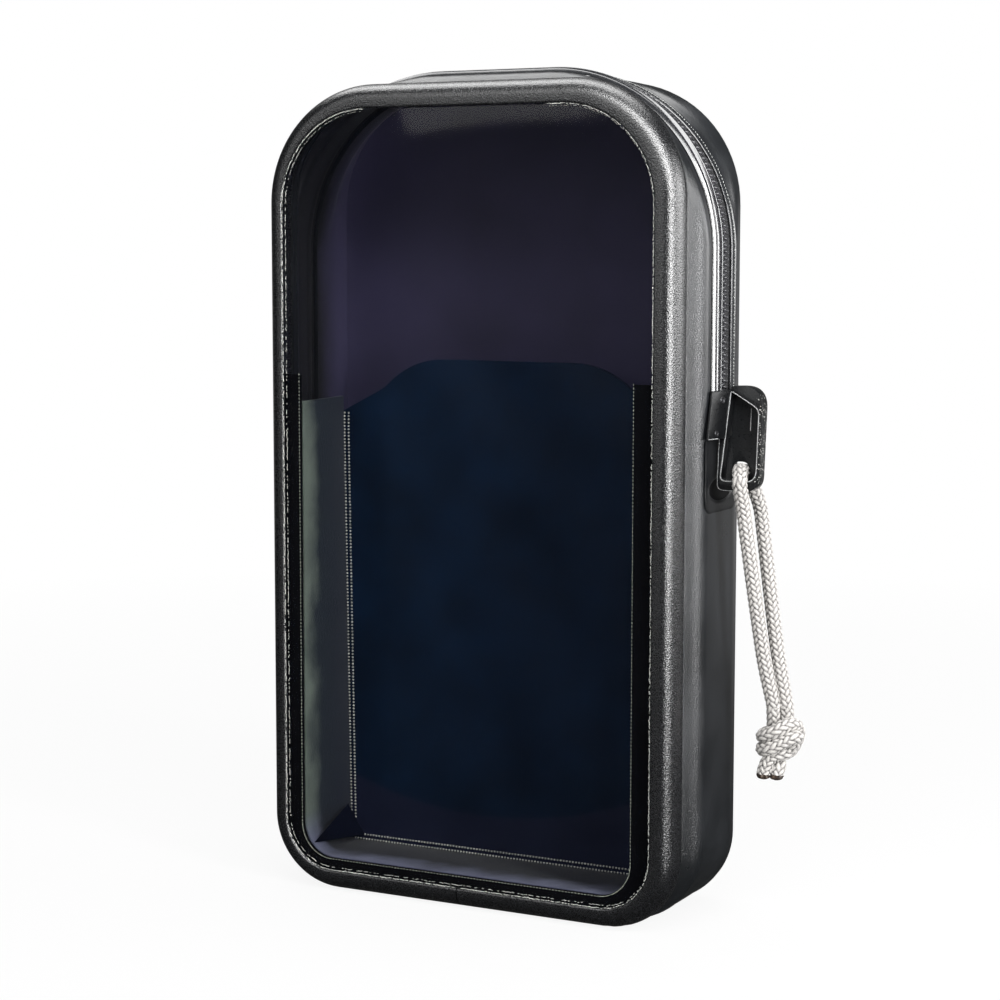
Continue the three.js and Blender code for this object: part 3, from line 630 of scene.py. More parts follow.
shell = {
    "wall": 2, "band": 2.2, "bandTop": 42, "steps": 20,
    "channelDepth": (15.4, 29.6), "channelCut": 1, "channelEnd": 100.5,
    "slitDepth": (20, 25), "slitEnd": 114, "floorDepth": 38,
    "sections": [  # depth, how far it stands out, top radius, bottom radius
        (8.5, -2.0, 26.5, 16.6), (9.3, -1.3, 27.5, 17.3), (11.267, 0.1, 33, 18), (13.133, 1.65, 39, 19),
        (15, 2.2, 42, 20), (22, 2.25, 42, 20), (29.8, 2.2, 42, 20), (32.6, 1.72, 37, 19), (35.2, 0.99, 32.5, 18.4),
        (37.6, 0.33, 29.5, 18), (39.2, -1.2, 28, 16.6), (39.8, -2.6, 26.6, 15.2), (40, -4.2, 25, 13.8),
    ],
}


def sectionRing(section, inward=0.0, depth=None):
    sectionDepth, proud, top, bottom = section
    side = pouch["width"] / 2 + proud - inward
    low = max(-proud, 0) + inward
    high = pouch["height"] + proud - inward
    path = outlinePath(side, low, high, top - inward, bottom - inward, shell["steps"])
    ring = np.empty((len(path), 3))
    ring[:, 0], ring[:, 2] = path[:, 0], path[:, 1]
    ring[:, 1] = sectionDepth if depth is None else depth
    return ring


def channelCutter(name, low, high, depths, end):
    path = zipperPath(end, end, 2.2)
    points = sweepPoints(path, [(low, depths[0]), (high, depths[0]), (high, depths[1]), (low, depths[1])])
    mesh = bpy.data.meshes.new(name)
    mesh.from_pydata(toMetres(points).tolist(), [], ringFaces(len(path), 4))
    fixNormals(mesh)
    return addObject(name, mesh)


def zipperPath(rightEnd, leftEnd, spacing):
    half = pouch["width"] / 2 + shell["band"]
    top, radius = pouch["height"] + shell["band"], shell["bandTop"]
    rows = np.vstack((
        [(half, rightEnd, 1, 0)],
        arcPath(half - radius, top - radius, radius, 0, 90, 48),
        arcPath(radius - half, top - radius, radius, 90, 180, 48),
        [(-half, leftEnd, -1, 0)],
    ))
    return finePath(rows, spacing)


def makeShell():
    fine = smoothLine(shell["sections"], 3)
    fine[:, 0] = np.clip(fine[:, 0], shell["sections"][0][0], pouch["depth"])
    outer = [sectionRing(row) for row in fine]
    wall = shell["wall"]
    inner = [sectionRing(row, wall) for row in fine if row[0] < shell["floorDepth"] - 0.4]
    floor = sectionRing(shell["sections"][-1], wall * 0.6, shell["floorDepth"])
    rings = [floor] + inner[::-1] + outer
    faces = ringFaces(len(rings), len(floor))
    innerFaces = len(inner) * len(floor)
    piece = makePiece(
        "moulded_shell", np.array(rings), faces, ["shell", "liner"], slot="moulded_shell", replaces=["body_shell"])
    floorLimit = (shell["floorDepth"] + 1 - pouch["depth"] / 2) * 0.001
    for face in piece.data.polygons:
        if face.index < innerFaces or (len(face.vertices) > 4 and face.center.y < floorLimit):
            face.material_index = 1
    cutAway(piece, [
        channelCutter("channel_cutter", -shell["channelCut"], 4, shell["channelDepth"], shell["channelEnd"]),
        channelCutter("slit_cutter", -wall * 2, 0, shell["slitDepth"], shell["slitEnd"]),
    ])
    smoothen(piece.data, sharpAngle)


makeShell()
print("shell made")


# Rim and window

rim = {
    "face": 5.3, "run": 3.7, "edgeDepth": 5.6, "back": 7.75, "pinch": 1.3, "lip": 1.2, "ledge": 3.2,
    "topRadius": 28.5, "bottomRadius": 18.3, "joint": (-1.5, 0.3), "spacing": 1.4,
    "flange": (2.5, 3.8, 7.2, 9.6),
    "creases": [(0.5, 0.2), (2.6, 0.13), (4.4, 0.16)], "creaseX": 37.5, "creaseWidth": 0.5, "shift": (0.45, 0.75),
}


def faceOutline(inset=0, steps=20):
    low, high, side = inset, pouch["height"] - inset, pouch["width"] / 2 - inset
    return outlinePath(side, low, high, rim["topRadius"] - inset, rim["bottomRadius"] - inset, steps)


def rimPath():
    centre, gap = rim["joint"]
    ends = [(centre + gap / 2, 0, 0, -1)], [(centre - gap / 2, 0, 0, -1)]
    return finePath(np.vstack((ends[0], faceOutline(steps=40), ends[1])), rim["spacing"])


def openingShift(path):
    # The window's opening sits a little left and low of the rim's middle
    return rim["shift"][0] * path[:, 2] + rim["shift"][1] * np.maximum(path[:, 3], 0)


def makeRim():
    arcAngles = np.radians(np.linspace(0, 90, 12))
    edge = [(rim["run"] * (math.sin(a) - 1), rim["edgeDepth"] * (1 - math.cos(a))) for a in arcAngles]
    inner = roundedProfile([
        (-rim["ledge"], rim["lip"], 0), (-rim["face"], rim["lip"], 0.2), (-rim["face"], 0, 0.55),
        (-rim["run"] - 0.4, 0, 0),
    ])
    back = roundedProfile([
        (0, rim["edgeDepth"], 0), (-0.25, 6.8, 0.5), (-rim["pinch"], rim["back"], 0.3), (-rim["ledge"], rim["back"], 0),
    ])
    profile = np.vstack((inner, edge, back[1:]))
    path = rimPath()
    points = sweepPoints(path, profile)
    shift = openingShift(path)[:, None] * (profile[:, 0] < -4.5) * (profile[:, 1] <= rim["lip"])
    points[:, :, 0] -= path[:, 2:3] * shift
    points[:, :, 2] -= path[:, 3:4] * shift
    for offset, depth in rim["creases"]:  # small folds where the strip is bent round the low corner
        away = path[:, 0] - rim["creaseX"] - offset
        dent = depth * np.exp(-(away / rim["creaseWidth"]) ** 2) * (path[:, 1] < 12) * (path[:, 0] > 0)
        points[:, :, 1] += dent[:, None] * (profile[:, 1] < 1.5)
        points[:, :, 2] += dent[:, None] * 0.6
    faces = ringFaces(len(path), len(profile))
    makePiece("padded_rim", points, faces, "rim", slot="grained_rim", replaces=["front_rim"])
    # The flange that rim and shell are welded to closes the groove between them
    low, high, front, back = rim["flange"]
    section = [(-high, front), (-low, front), (-low, back), (-high, back)]
    loop = finePath(faceOutline(steps=40), 2, True)
    sweepPiece("welded_flange", loop, section, "shell", closed=True, slot="moulded_shell")


window = {
    "front": 1.5, "thickness": 0.8, "inset": 3.5, "crown": 0.25,
    "beads": [(5.4, 0.09, 0.82), (5.85, 0.06, 0.6)],  # inset, radius and share of the beads that show
    "beadDepth": 0.35, "beadStep": 0.8, "beadPitch": 0.42, "beadHalf": 0.24, "bare": (-27, 22, 150),
}


def makeWindow():
    outline = faceOutline(window["inset"])
    centre = np.array((0, pouch["height"] / 2))
    rings = []
    for side, depth in ((1, window["front"]), (-1, window["front"] + window["thickness"])):
        shares = np.linspace(0.04, 1, 14)
        for share in shares if side > 0 else shares[::-1]:
            ring = np.empty((len(outline), 3))
            ring[:, [0, 2]] = centre + (outline[:, :2] - centre) * share
            ring[:, 1] = depth - window["crown"] * (1 - share ** 2)
            rings.append(ring)
    faces = ringFaces(len(rings), len(outline))
    makePiece("window_sheet", np.array(rings), faces, "window", slot="clear_sheet", replaces=["front_window"])
    # Two fine broken rows of pale beads along the sheet's edge: painted glints
    rng = np.random.default_rng(4)
    for number, (inset, reach, density) in enumerate(window["beads"]):
        path = finePath(faceOutline(inset), window["beadPitch"], True)
        left, right, low = window["bare"]  # no painted glints along the top
        kept = (path[:, 0] < left) | (path[:, 0] > right) | (path[:, 1] < low)
        path = path[kept & (rng.random(len(path)) < density)]
        depth, outward, along = pathAxes(path)
        centres = placesOn(path, 0, window["beadDepth"] + number * window["beadStep"])
        centres -= outward * openingShift(path)[:, None]
        centres += outward * rng.normal(0, 0.06, (len(path), 1)) + depth * rng.normal(0, 0.05, (len(path), 1))
        beadsPiece(
            f"window_edge_painted_glint_{number + 1}", centres, depth, outward, along, (reach, reach, window["beadHalf"]),
            "seamThread", slot="clear_sheet")


makeRim()
makeWindow()
print("rim and window made")

# Inner pocket

pocket = {
    "offset": (-1.7, -2.3), "bindingInset": (3.3, 10.0), "bindingDepth": (2.6, 3.8), "bindingTop": 131,
    "gussetDepth": (4.1, 29.7), "gussetThickness": 1, "splay": 2.2, "gussetTop": 124.3, "sag": 0.7, "rearRadius": 1.6,
    "panelDepth": 30, "panelThickness": 1.2, "panelInset": 7.1, "panelTop": 134.3, "panelTopHalf": 22,
    "pieces": ("pocket_binding_strip", "binding_stitches", "pocket_side", "pocket_panel_cloth"),
    "shoulder": 120.3, "shoulderRun": 13, "shoulderRise": 6.5, "topRounding": 4, "lean": 2.6,
    "ripples": ((0.01, 0.035), (0.008, 0.03), (0, math.tau), (0.06, 0.14)),  # across, up, phase and size
}


def panelLean(z):
    # The free upper part of the back panel hangs forward
    return pocket["lean"] * np.clip((z - 8) / 105, 0, 1)


def pocketRing(inset, radius, top, arcSteps=14, sideSteps=70, bottomSteps=60):
    # Every ring has the same number of places, so rings of different corners can be joined
    side = pouch["width"] / 2 - inset
    corner, low = side - radius, inset + radius
    right = np.linspace((side, top, 1, 0), (side, low, 1, 0), sideSteps)[:-1]
    left = np.linspace((-side, low, -1, 0), (-side, top, -1, 0), sideSteps)[1:]
    bottom = np.linspace((corner, inset, 0, -1), (-corner, inset, 0, -1), bottomSteps)[1:-1]
    rightArc = arcPath(corner, low, radius, 0, -90, arcSteps)
    leftArc = arcPath(-corner, low, radius, -90, -180, arcSteps)
    return np.vstack((right, rightArc, bottom, leftArc, left))


def pocketPath(top, spacing=1.5):
    side, radius = pouch["width"] / 2, rim["bottomRadius"]
    return finePath(np.vstack((
        [(side, top, 1, 0)],
        arcPath(side - radius, radius, radius, 0, -90, 30),
        arcPath(radius - side, radius, radius, -90, -180, 30),
        [(-side, top, -1, 0)],
    )), spacing)


def makeBinding():
    outer, inner = pocket["bindingInset"]
    front, back = pocket["bindingDepth"]
    corners = [(-inner, front, 0.35), (-outer, front, 0.2), (-outer, back, 0.2), (-inner, back, 0.35)]
    profile = roundedProfile(corners, 3)
    path = pocketPath(pocket["bindingTop"])
    sweepPiece("pocket_binding_strip", path, profile, "binding", slot="binding", replaces=["pocket_binding"])
    row = pocketPath(pocket["bindingTop"], 0.85)
    stitchRow("binding_stitches", row, 0.2 - inner, front, (0.1, 0.12, 0.28), "edgeThread", "binding")


def gussetRing(share, outward=0.0):
    front, back = pocket["gussetDepth"]
    edge = pocket["bindingInset"][1]
    inset = edge - pocket["splay"] * share - outward + pocket["sag"] * 0.5 * math.sin(math.pi * share)
    frontRadius = rim["bottomRadius"] - edge
    radius = frontRadius + (pocket["rearRadius"] - frontRadius) * share + outward
    ring = pocketRing(inset, radius, pocket["gussetTop"])
    depth = front + (back - front) * share - panelLean(ring[:, 1]) * share
    return np.column_stack((ring[:, 0], depth, ring[:, 1])), ring


def makeGusset():
    shares = np.linspace(0, 1, 14)
    rng = np.random.default_rng(11)
    phases = rng.uniform(0, math.tau, 4)
    rows = []
    for share, outward in [(s, 0) for s in shares] + [(s, pocket["gussetThickness"]) for s in shares[::-1]]:
        points, ring = gussetRing(share, outward)
        run = np.arange(len(points)) * 1.5
        wave = sum(np.sin(run / length + phase) for length, phase in zip((9, 14, 23, 37), phases))
        wave = wave * 0.1 * math.sin(math.pi * share)
        points[:, 0] += ring[:, 2] * wave
        points[:, 2] += ring[:, 3] * wave
        rows.append(points)
    points = np.array(rows).transpose(1, 0, 2)
    makePiece("pocket_side", points, ringFaces(*points.shape[:2]), "side", slot="lining", replaces=["pocket_gusset"])


fold = {"top": (-45.8, 25.4, 17.8), "strip": (-43.3, 4.7, 12.5), "seam": (-43.0, 29.0, 9.2), "proud": 0.5, "bow": 0.3}


def makeCornerFold(name, side):
    # The spare cloth of the corner is folded flat into a triangle, coloured near black as painted shade
    corners = [np.array(fold[key]) * (side, 1, 1) for key in ("top", "strip", "seam")]
    lift = np.array((0.7 * side, -0.2, 0.7))
    steps = 12
    rows, index = [], {}
    for i in range(steps + 1):
        for j in range(steps + 1 - i):
            a, b = i / steps, j / steps
            c = 1 - a - b
            index[i, j] = len(rows)
            rise = fold["proud"] + fold["bow"] * 27 * a * b * c
            rows.append(corners[0] * a + corners[1] * b + corners[2] * c + lift * rise)
    count = len(rows)
    points = rows + [row - lift * 0.3 for row in rows]
    faces = []
    for i in range(steps):
        for j in range(steps - i):
            faces.append((index[i, j], index[i + 1, j], index[i, j + 1]))
            if j < steps - i - 1:
                faces.append((index[i + 1, j], index[i + 1, j + 1], index[i, j + 1]))
    faces += [tuple(count + v for v in reversed(face)) for face in faces]
    border = [index[i, 0] for i in range(steps)] + [index[steps - j, j] for j in range(steps)]
    border += [index[0, steps - i] for i in range(steps)]
    faces += [(a, b, b + count, a + count) for a, b in zip(border, border[1:] + border[:1])]
    makePiece(name, points, faces, "fold", slot="lining")


def panelTopAt(x):
    half = pouch["width"] / 2 - pocket["panelInset"]
    slope = half - pocket["shoulderRun"]
    x = abs(x)
    top, low, rise = pocket["panelTop"], pocket["shoulder"], pocket["shoulderRise"]
    flat = pocket["panelTopHalf"] - pocket["topRounding"]
    if x > slope:
        return low + rise * (half - x) / (half - slope)
    if x > flat:
        t = (slope - x) / (slope - flat)
        return low + rise + (top - low - rise) * (1 - (1 - t) ** 2) ** 0.9
    return top


def makePanel():
    half = pouch["width"] / 2 - pocket["panelInset"]
    radius = pocket["rearRadius"] + 0.6
    bends = half - radius + radius * np.sin(np.radians(np.linspace(0, 90, 7)))
    xs = np.concatenate((-bends[::-1], np.linspace(-half + radius, half - radius, 59)[1:-1], bends))
    rows = 64
    front, back = [], []
    rng = np.random.default_rng(21)
    waves = [[rng.uniform(*span) for span in pocket["ripples"]] for _ in range(6)]
    for x in xs:
        away = max(abs(x) - (half - radius), 0)
        low = pocket["panelInset"] + radius - math.sqrt(max(radius ** 2 - away ** 2, 0))
        high = panelTopAt(x)
        for share in np.linspace(0, 1, rows):
            z = low + (high - low) * share
            edge = min((half - abs(x)) / 12, (z - low) / 12, 1)
            ripple = sum(size * math.sin(math.tau * (a * x + b * z) + phase) for a, b, phase, size in waves)
            depth = pocket["panelDepth"] + (ripple * 1.1 - 0.5) * max(edge, 0) ** 2 - panelLean(z)
            front.append((x, depth, z))
            back.append((x, depth + pocket["panelThickness"], z))
    faces = []
    count, shift = len(xs), len(front)
    for i in range(count - 1):
        for j in range(rows - 1):
            a, b = i * rows + j, (i + 1) * rows + j
            faces.append((a, b, b + 1, a + 1))
            faces.append((shift + a, shift + a + 1, shift + b + 1, shift + b))
    border = [i * rows for i in range(count)] + [(count - 1) * rows + j for j in range(1, rows)]
    border += [i * rows + rows - 1 for i in range(count - 2, -1, -1)] + [j for j in range(rows - 2, 0, -1)]
    for a, b in zip(border, border[1:] + border[:1]):
        faces.append((a, shift + a, shift + b, b))
    makePiece("pocket_panel_cloth", front + back, faces, "panel", slot="lining", replaces=["pocket_panel"])


seams = {"pitch": 0.85, "rows": (8.1, 9.3), "depth": 29.6, "top": 120, "stitch": (0.2, 0.28, 0.27)}


def makePanelSeams():
    for number, inset in enumerate(seams["rows"]):
        row = finePath(pocketRing(inset, pocket["rearRadius"] - number * 0.6, seams["top"]), seams["pitch"])
        depth = seams["depth"] - panelLean(row[:, 1])
        stitchRow(f"panel_seam_{number + 1}", row, 0, depth, seams["stitch"], "seamThread", "lining")


def movePocket():
    # The pocket was sewn in a little low and to the left of the window
    right, up = (v * 0.001 for v in pocket["offset"])
    for piece in bpy.context.scene.objects:
        if piece.name in pocket["pieces"] or piece.name.startswith(("corner_fold_", "panel_seam_")):
            for vertex in piece.data.vertices:
                vertex.co.x += right
                vertex.co.z += up


makeBinding()
makeGusset()
makeCornerFold("corner_fold_left", 1)
makeCornerFold("corner_fold_right", -1)
makePanel()
makePanelSeams()
movePocket()
print("inner pocket made")

# Zipper

zipper = {
    "depth": 22.5, "tapeOut": (-0.7, -0.2), "tapeDepths": ((15.7, 21.3), (23.7, 29.3)), "tapeEnd": 108,
    "backing": (-0.8, -0.25, 21.1, 23.9),
    "lipBase": 0.1, "lipEnd": 116.2,
    "lips": {  # where each starts, and its section: how far out and how deep
        "front": (15.7, [
            (0, 0), (0.42, 0.35), (0.85, 0.85), (0.8, 1.4), (0.3, 1.85), (0.25, 2.3), (0.75, 2.75), (1.22, 3.05),
            (1.28, 3.35), (0.95, 3.75), (0, 4.0)]),
        "rear": (29.3, [(0, -2.5), (0.3, -2.3), (0.42, -1.6), (0.5, -1), (0.66, -0.6), (0.45, -0.15), (0, 0)]),
    },
    "coilPitch": 1.5, "coilStart": 122.2, "coilEnd": 118, "coilOut": 0.4, "coilOffset": 0.75, "coilSlant": 0.16,
    "coilSizes": (1.65, 0.45, 0.435),
    "seamPlace": (0.65, 28.1), "seamPitch": 0.8, "docksBottom": 98.2, "docksTop": 116.1,
}


def stripProfile(low, high, front, back, outerRounding):
    return roundedProfile([
        (low, front, 0.1), (high, front, outerRounding), (high, back, outerRounding), (low, back, 0.1)], 2)


def makeTapes():
    path = zipperPath(zipper["tapeEnd"], zipper["tapeEnd"], 1.6)
    for side, depths in zip(("front", "rear"), zipper["tapeDepths"]):
        profile = stripProfile(*zipper["tapeOut"], *depths, 0.15)
        sweepPiece(f"woven_tape_{side}", path, profile, "tape", slot="zipper_tape", replaces=[f"zipper_tape_{side}"])
    # The coil is sewn over a flat cord that closes the space between the tapes
    path = zipperPath(zipper["coilStart"], zipper["coilEnd"], 1.6)
    sweepPiece("coil_backing_cord", path, stripProfile(*zipper["backing"], 0.1), "tape", slot="zipper_coil")


def makeLips():
    path = zipperPath(zipper["lipEnd"], zipper["lipEnd"], 1.4)
    for side, (start, section) in zipper["lips"].items():
        profile = smoothLine([(zipper["lipBase"] + out, start + deep) for out, deep in section], 4)
        sweepPiece(
            f"rolled_lip_{side}", path, profile, "lip", slot="zipper_lip", replaces=[f"zipper_lip_{side}"],
            sharp=math.radians(60))


def makeCoils():
    # Each row is a run of nylon loops that cross the middle and mesh with the other row
    pitch = zipper["coilPitch"]
    for side, sign in (("front", -1), ("rear", 1)):
        path = zipperPath(zipper["coilStart"] + (0 if sign < 0 else pitch / 2), zipper["coilEnd"], pitch)
        depth, outward, along = pathAxes(path)
        across = unit(depth + along * zipper["coilSlant"] * sign)
        centres = placesOn(path, zipper["coilOut"], zipper["depth"] + sign * zipper["coilOffset"])
        beadsPiece(
            f"nylon_coil_{side}", centres, across, outward, np.cross(across, outward), zipper["coilSizes"], "coil",
            sides=8, rings=5, slot="zipper_coil", replaces=[f"zipper_teeth_{side}"])


def makeZipperSeam():
    row = zipperPath(zipper["lipEnd"], zipper["lipEnd"], zipper["seamPitch"])
    outward, depth = zipper["seamPlace"]
    stitchRow("zipper_seam_stitches", row, outward, depth, (0.14, 0.11, 0.3), "tapeThread", "zipper_lip")


dock = {
    "halfWidth": 9.6, "corner": 3, "hollowHalf": 8, "hollowHeight": 6.4, "hollowRise": 2.3,
    "section": [  # how far out from the hollow's centre (1 is its rim, 2 the plate's edge) and how high over the wall
        (2, -0.02), (1.96, 0.05), (1.8, 0.12), (1.4, 0.17), (1.1, 0.17), (1.02, 0.13), (0.95, 0.03), (0.86, -0.12),
        (0.75, -0.45), (0.45, -0.7), (0.02, -0.74), (0.02, -0.85), (0.45, -0.82), (0.8, -0.66), (0.9, -0.2),
        (1.05, -0.05),
    ],
}


def makeDock(name, side):
    # A plate with an oval hollow: both outlines are walked by the same number of points
    low, high = zipper["docksBottom"], zipper["docksTop"]
    centreZ = low + dock["hollowRise"] + dock["hollowHeight"] / 2
    turns = np.linspace(0, math.tau, 73)[:-1]
    half, halfHeight = dock["hollowHalf"], dock["hollowHeight"] / 2
    hollow = np.column_stack((half * np.cos(turns), centreZ + halfHeight * np.sin(turns)))
    outer = np.array([plateEdge(turn, centreZ, low, high) for turn in turns])
    middle = np.array((0, centreZ))
    wall = pouch["width"] / 2 + shell["band"]
    rows = []
    for share, rise in dock["section"]:
        line = middle + (hollow - middle) * share if share < 1 else hollow + (outer - hollow) * (share - 1)
        x = np.full(len(line), side * (wall + rise))
        rows.append(np.column_stack((x, zipper["depth"] + line[:, 0], line[:, 1])))
    faces = ringFaces(len(rows), len(turns), closedPath=True)
    piece = makePiece(name, np.array(rows), faces, ["dock", "binding"], slot="dock", replaces=["end_" + name])
    # The oval hollow takes the near-black binding finish: painted shade in the recess
    for face in piece.data.polygons:
        across = (face.center.y * 1000 + pouch["depth"] / 2 - zipper["depth"]) / half
        up = (face.center.z * 1000 - centreZ) / halfHeight
        face.material_index = int(across ** 2 + up ** 2 < 0.8)


def plateEdge(turn, centreZ, low, high):
    # Where a ray from the hollow's centre leaves the rounded plate
    dx, dz = math.cos(turn), math.sin(turn)
    half, r = dock["halfWidth"], dock["corner"]
    room = high - centreZ if dz > 0 else centreZ - low
    reach = min(span / abs(d) for span, d in ((half, dx), (room, dz)) if abs(d) > 1e-9)
    x, z = dx * reach, centreZ + dz * reach
    if z < low + r and abs(x) > half - r:
        cx, cz = math.copysign(half - r, x), low + r
        a, b, c = 1, 2 * (-cx * dx + (centreZ - cz) * dz), cx ** 2 + (centreZ - cz) ** 2 - r ** 2
        reach = (-b + math.sqrt(max(b * b - 4 * a * c, 0))) / 2
        x, z = dx * reach, centreZ + dz * reach
    return x, z


makeTapes()
makeLips()
makeCoils()
makeZipperSeam()
makeDock("dock_right", 1)
makeDock("dock_left", -1)
print("zipper made")

# Slider

slider = {
    "bottom": 116.5, "length": 11.1, "leadHalf": 10, "trailHalf": 8.4, "skirtX": 57.6, "flankX": 58.2,
    "ridgeX": 60.6, "ridgeFall": 0.85, "hoodDrop": 0.7, "ridgeHalf": 1.9,
    "roofX": 58.9, "roofHalf": 4.6, "channelHalf": 7.1, "lean": 0.096, "leanFrom": 122,
    "heelX": 57.95, "outerX": 68.4, "loopLow": 103.7, "loopHigh": 128.2, "loopThickness": 3.4, "forward": 2.9,
    "topRadius": 5.5, "bottomRadius": 3.6, "outerWall": 0.8, "bottomWall": 2.2, "heelWall": 0.7,
    "hollowTop": (126.9, 122.8), "web": 1.2, "holeX": (60.8, 65.0), "holeHeight": 4.5, "bevel": 0.3,
    "stepShare": 0.56, "lineX": 64.9, "lineZ": (117.6, 122.8),
    "pins": {"upper": (124.8, 5.2, 0.8), "lower": (117.2, 6.7, 0.8)},  # height, forward of the middle, radius
}


def leanAt(z):
    # The slider sits a little askew on the zipper, its loop swung towards the front
    return slider["lean"] * (z - slider["leanFrom"])


def prismPiece(name, outline, low, high, axis, finish, **rest):
    # An outline of two values each, drawn across the axis "x" or "depth"
    count = len(outline)
    points = []
    for place in (low, high):
        for a, b in outline:
            points.append((place, zipper["depth"] + a, b) if axis == "x" else (a, place, b))
    faces = [tuple(range(count)), tuple(reversed(range(count, 2 * count)))]
    faces += [(i, (i + 1) % count, (i + 1) % count + count, i + count) for i in range(count)]
    return makePiece(name, points, faces, finish, **rest)


def roundedShape(corners, steps=10):
    return [tuple(point) for point in roundedProfile(corners, steps)]


def hoodSlope(z):
    # Half width of the hood at a height, its ridge, and how steeply its faces climb to the ridge
    share = (z - slider["bottom"] + slider["hoodDrop"]) / slider["length"]
    half = slider["leadHalf"] + (slider["trailHalf"] - slider["leadHalf"]) * share
    ridge = slider["ridgeX"] - slider["ridgeFall"] * (1 - share)
    return half, ridge, (ridge - slider["flankX"]) / (half - slider["ridgeHalf"])


def makeHood():
    # A roof over the zipper that narrows towards the top, with a channel for the lips under it
    s = slider
    low = s["bottom"] - s["hoodDrop"]
    rings = []
    for z in np.linspace(low, low + s["length"], 5):
        half, ridge, _ = hoodSlope(z)
        over = [(half, s["skirtX"]), (half, s["flankX"]), (s["ridgeHalf"], ridge)]
        under = [(s["roofHalf"], s["roofX"]), (s["channelHalf"], s["roofX"] - 1), (s["channelHalf"], s["skirtX"])]
        outer = [(-a + leanAt(z), x) for a, x in over] + [(a + leanAt(z), x) for a, x in reversed(over)]
        inner = [(a, x) for a, x in reversed(under)] + [(-a, x) for a, x in under]
        rings.append([(x, zipper["depth"] + a, z) for a, x in outer + inner])
    faces = ringFaces(len(rings), len(rings[0]))
    piece = makePiece(
        "slider_hood", np.array(rings), faces, "slider", "slider", slot="slider", replaces=["slider_grip"])
    bevelEdges(piece, s["bevel"])


def loopOutline():
    s = slider
    return roundedShape([
        (s["heelX"], s["bottom"] - 0.1, 0), (s["heelX"], s["loopLow"], 1.6),
        (s["outerX"], s["loopLow"], s["bottomRadius"]),
        (s["outerX"], s["loopHigh"], s["topRadius"]), (s["ridgeX"], s["loopHigh"] - 0.25, 0.3),
        (s["ridgeX"] - 0.4, s["bottom"] + s["length"] - 0.6, 0), (s["ridgeX"] - 0.4, s["bottom"] - 0.1, 0),
    ])


def hollowOutline():
    s = slider
    low, right = s["loopLow"] + s["bottomWall"], s["outerX"] - s["outerWall"]
    return roundedShape([
        (s["heelX"] + s["heelWall"], low, 1.5), (right, low, s["bottomRadius"] - s["outerWall"]),
        (right, s["hollowTop"][1], 1.5), (s["ridgeX"] - 0.15, s["hollowTop"][0], 0.7),
    ])


def makeLoop():
    s = slider
    front = zipper["depth"] - s["forward"]
    back = front + s["loopThickness"]
    loop = prismPiece(
        "slider_loop", loopOutline(), front, back, "depth", "slider", body="slider", slot="slider",
        replaces=["slider_grip"])
    hollow = hollowOutline()
    (left, right), low = s["holeX"], s["loopLow"] + s["bottomWall"]
    high = low + s["holeHeight"]
    hole = roundedShape([(left, low, 0.5), (right, low, 0.5), (right, high, 1.9), (left, high, 1.9)], 8)
    cutAway(loop, [
        prismPiece("hollow_cutter", hollow, front - 3, back - s["web"], "depth", "slider", body="slider"),
        prismPiece("hole_cutter", hole, front - 3, back + 3, "depth", "slider", body="slider"),
    ])
    bevelEdges(loop, slider["bevel"])
    for vertex in loop.data.vertices:
        vertex.co.y += leanAt(vertex.co.z * 1000) * 0.001


def paintedHighlightBead(name, places, radius, closed=False):
    # A pale bead along an edge is a painted highlight, drawn as a thin bright line
    route = np.array([(x, depth + leanAt(z), z) for x, depth, z in places])
    following, before = np.roll(route, -1, axis=0), np.roll(route, 1, axis=0)
    if not closed:
        following[-1], before[0] = route[-1], route[0]
    tangents = unit(following - before)
    sides = unit(np.cross(tangents, (0.05, 1, 0.02)))
    fronts = np.cross(sides, tangents)
    turns = np.linspace(0, math.tau, 9)[:-1]
    cosines, sines = radius * np.cos(turns)[:, None], radius * np.sin(turns)[:, None]
    rings = [place + cosines * a + sines * b for place, a, b in zip(route, sides, fronts)]
    faces = ringFaces(len(rings), len(turns), closedPath=closed)
    makePiece(name, np.array(rings), faces, "edge", "slider", slot="slider")


# Pale beads round the loop's hollow and heel, in the hollow and on the hood's low edge: painted highlights
def makePaintedHighlights():
    s = slider
    front = zipper["depth"] - s["forward"]
    hollow = [(x, front + 0.08, z) for x, z in hollowOutline()]
    hollow = [place for i, place in enumerate(hollow) if i == 0 or math.dist(place, hollow[i - 1]) > 0.02]
    paintedHighlightBead("loop_painted_highlight_inner", evenSpaced(np.array(hollow + hollow[:1]), 0.5)[0][:-1], 0.15, True)
    x, low = s["heelX"], s["loopLow"]
    heel = roundedShape([(x, s["bottom"], 0), (x, low, 1.6), (x + 4, low, 0)], 8)
    heel = np.array([(x + 0.14, front + 0.05, z + 0.08) for x, z in heel])
    paintedHighlightBead("loop_painted_highlight_outer", evenSpaced(heel, 0.5)[0], 0.09)
    line = [(s["lineX"], front + s["loopThickness"] - s["web"] - 0.02, z) for z in s["lineZ"]]
    paintedHighlightBead("hollow_painted_highlight", evenSpaced(np.array(line), 0.5)[0], 0.1)
    low = s["bottom"] - s["hoodDrop"]
    half, ridge, _ = hoodSlope(low)
    step = [
        (s["flankX"], zipper["depth"] - half + 0.2, low + 0.14),
        (ridge - 0.2, zipper["depth"] - s["ridgeHalf"] - 0.8, low + 0.14),
    ]
    step[1] = tuple(a + (b - a) * s["stepShare"] for a, b in zip(*step))
    paintedHighlightBead("hood_painted_highlight_low", evenSpaced(np.array(step), 0.4)[0], 0.12)


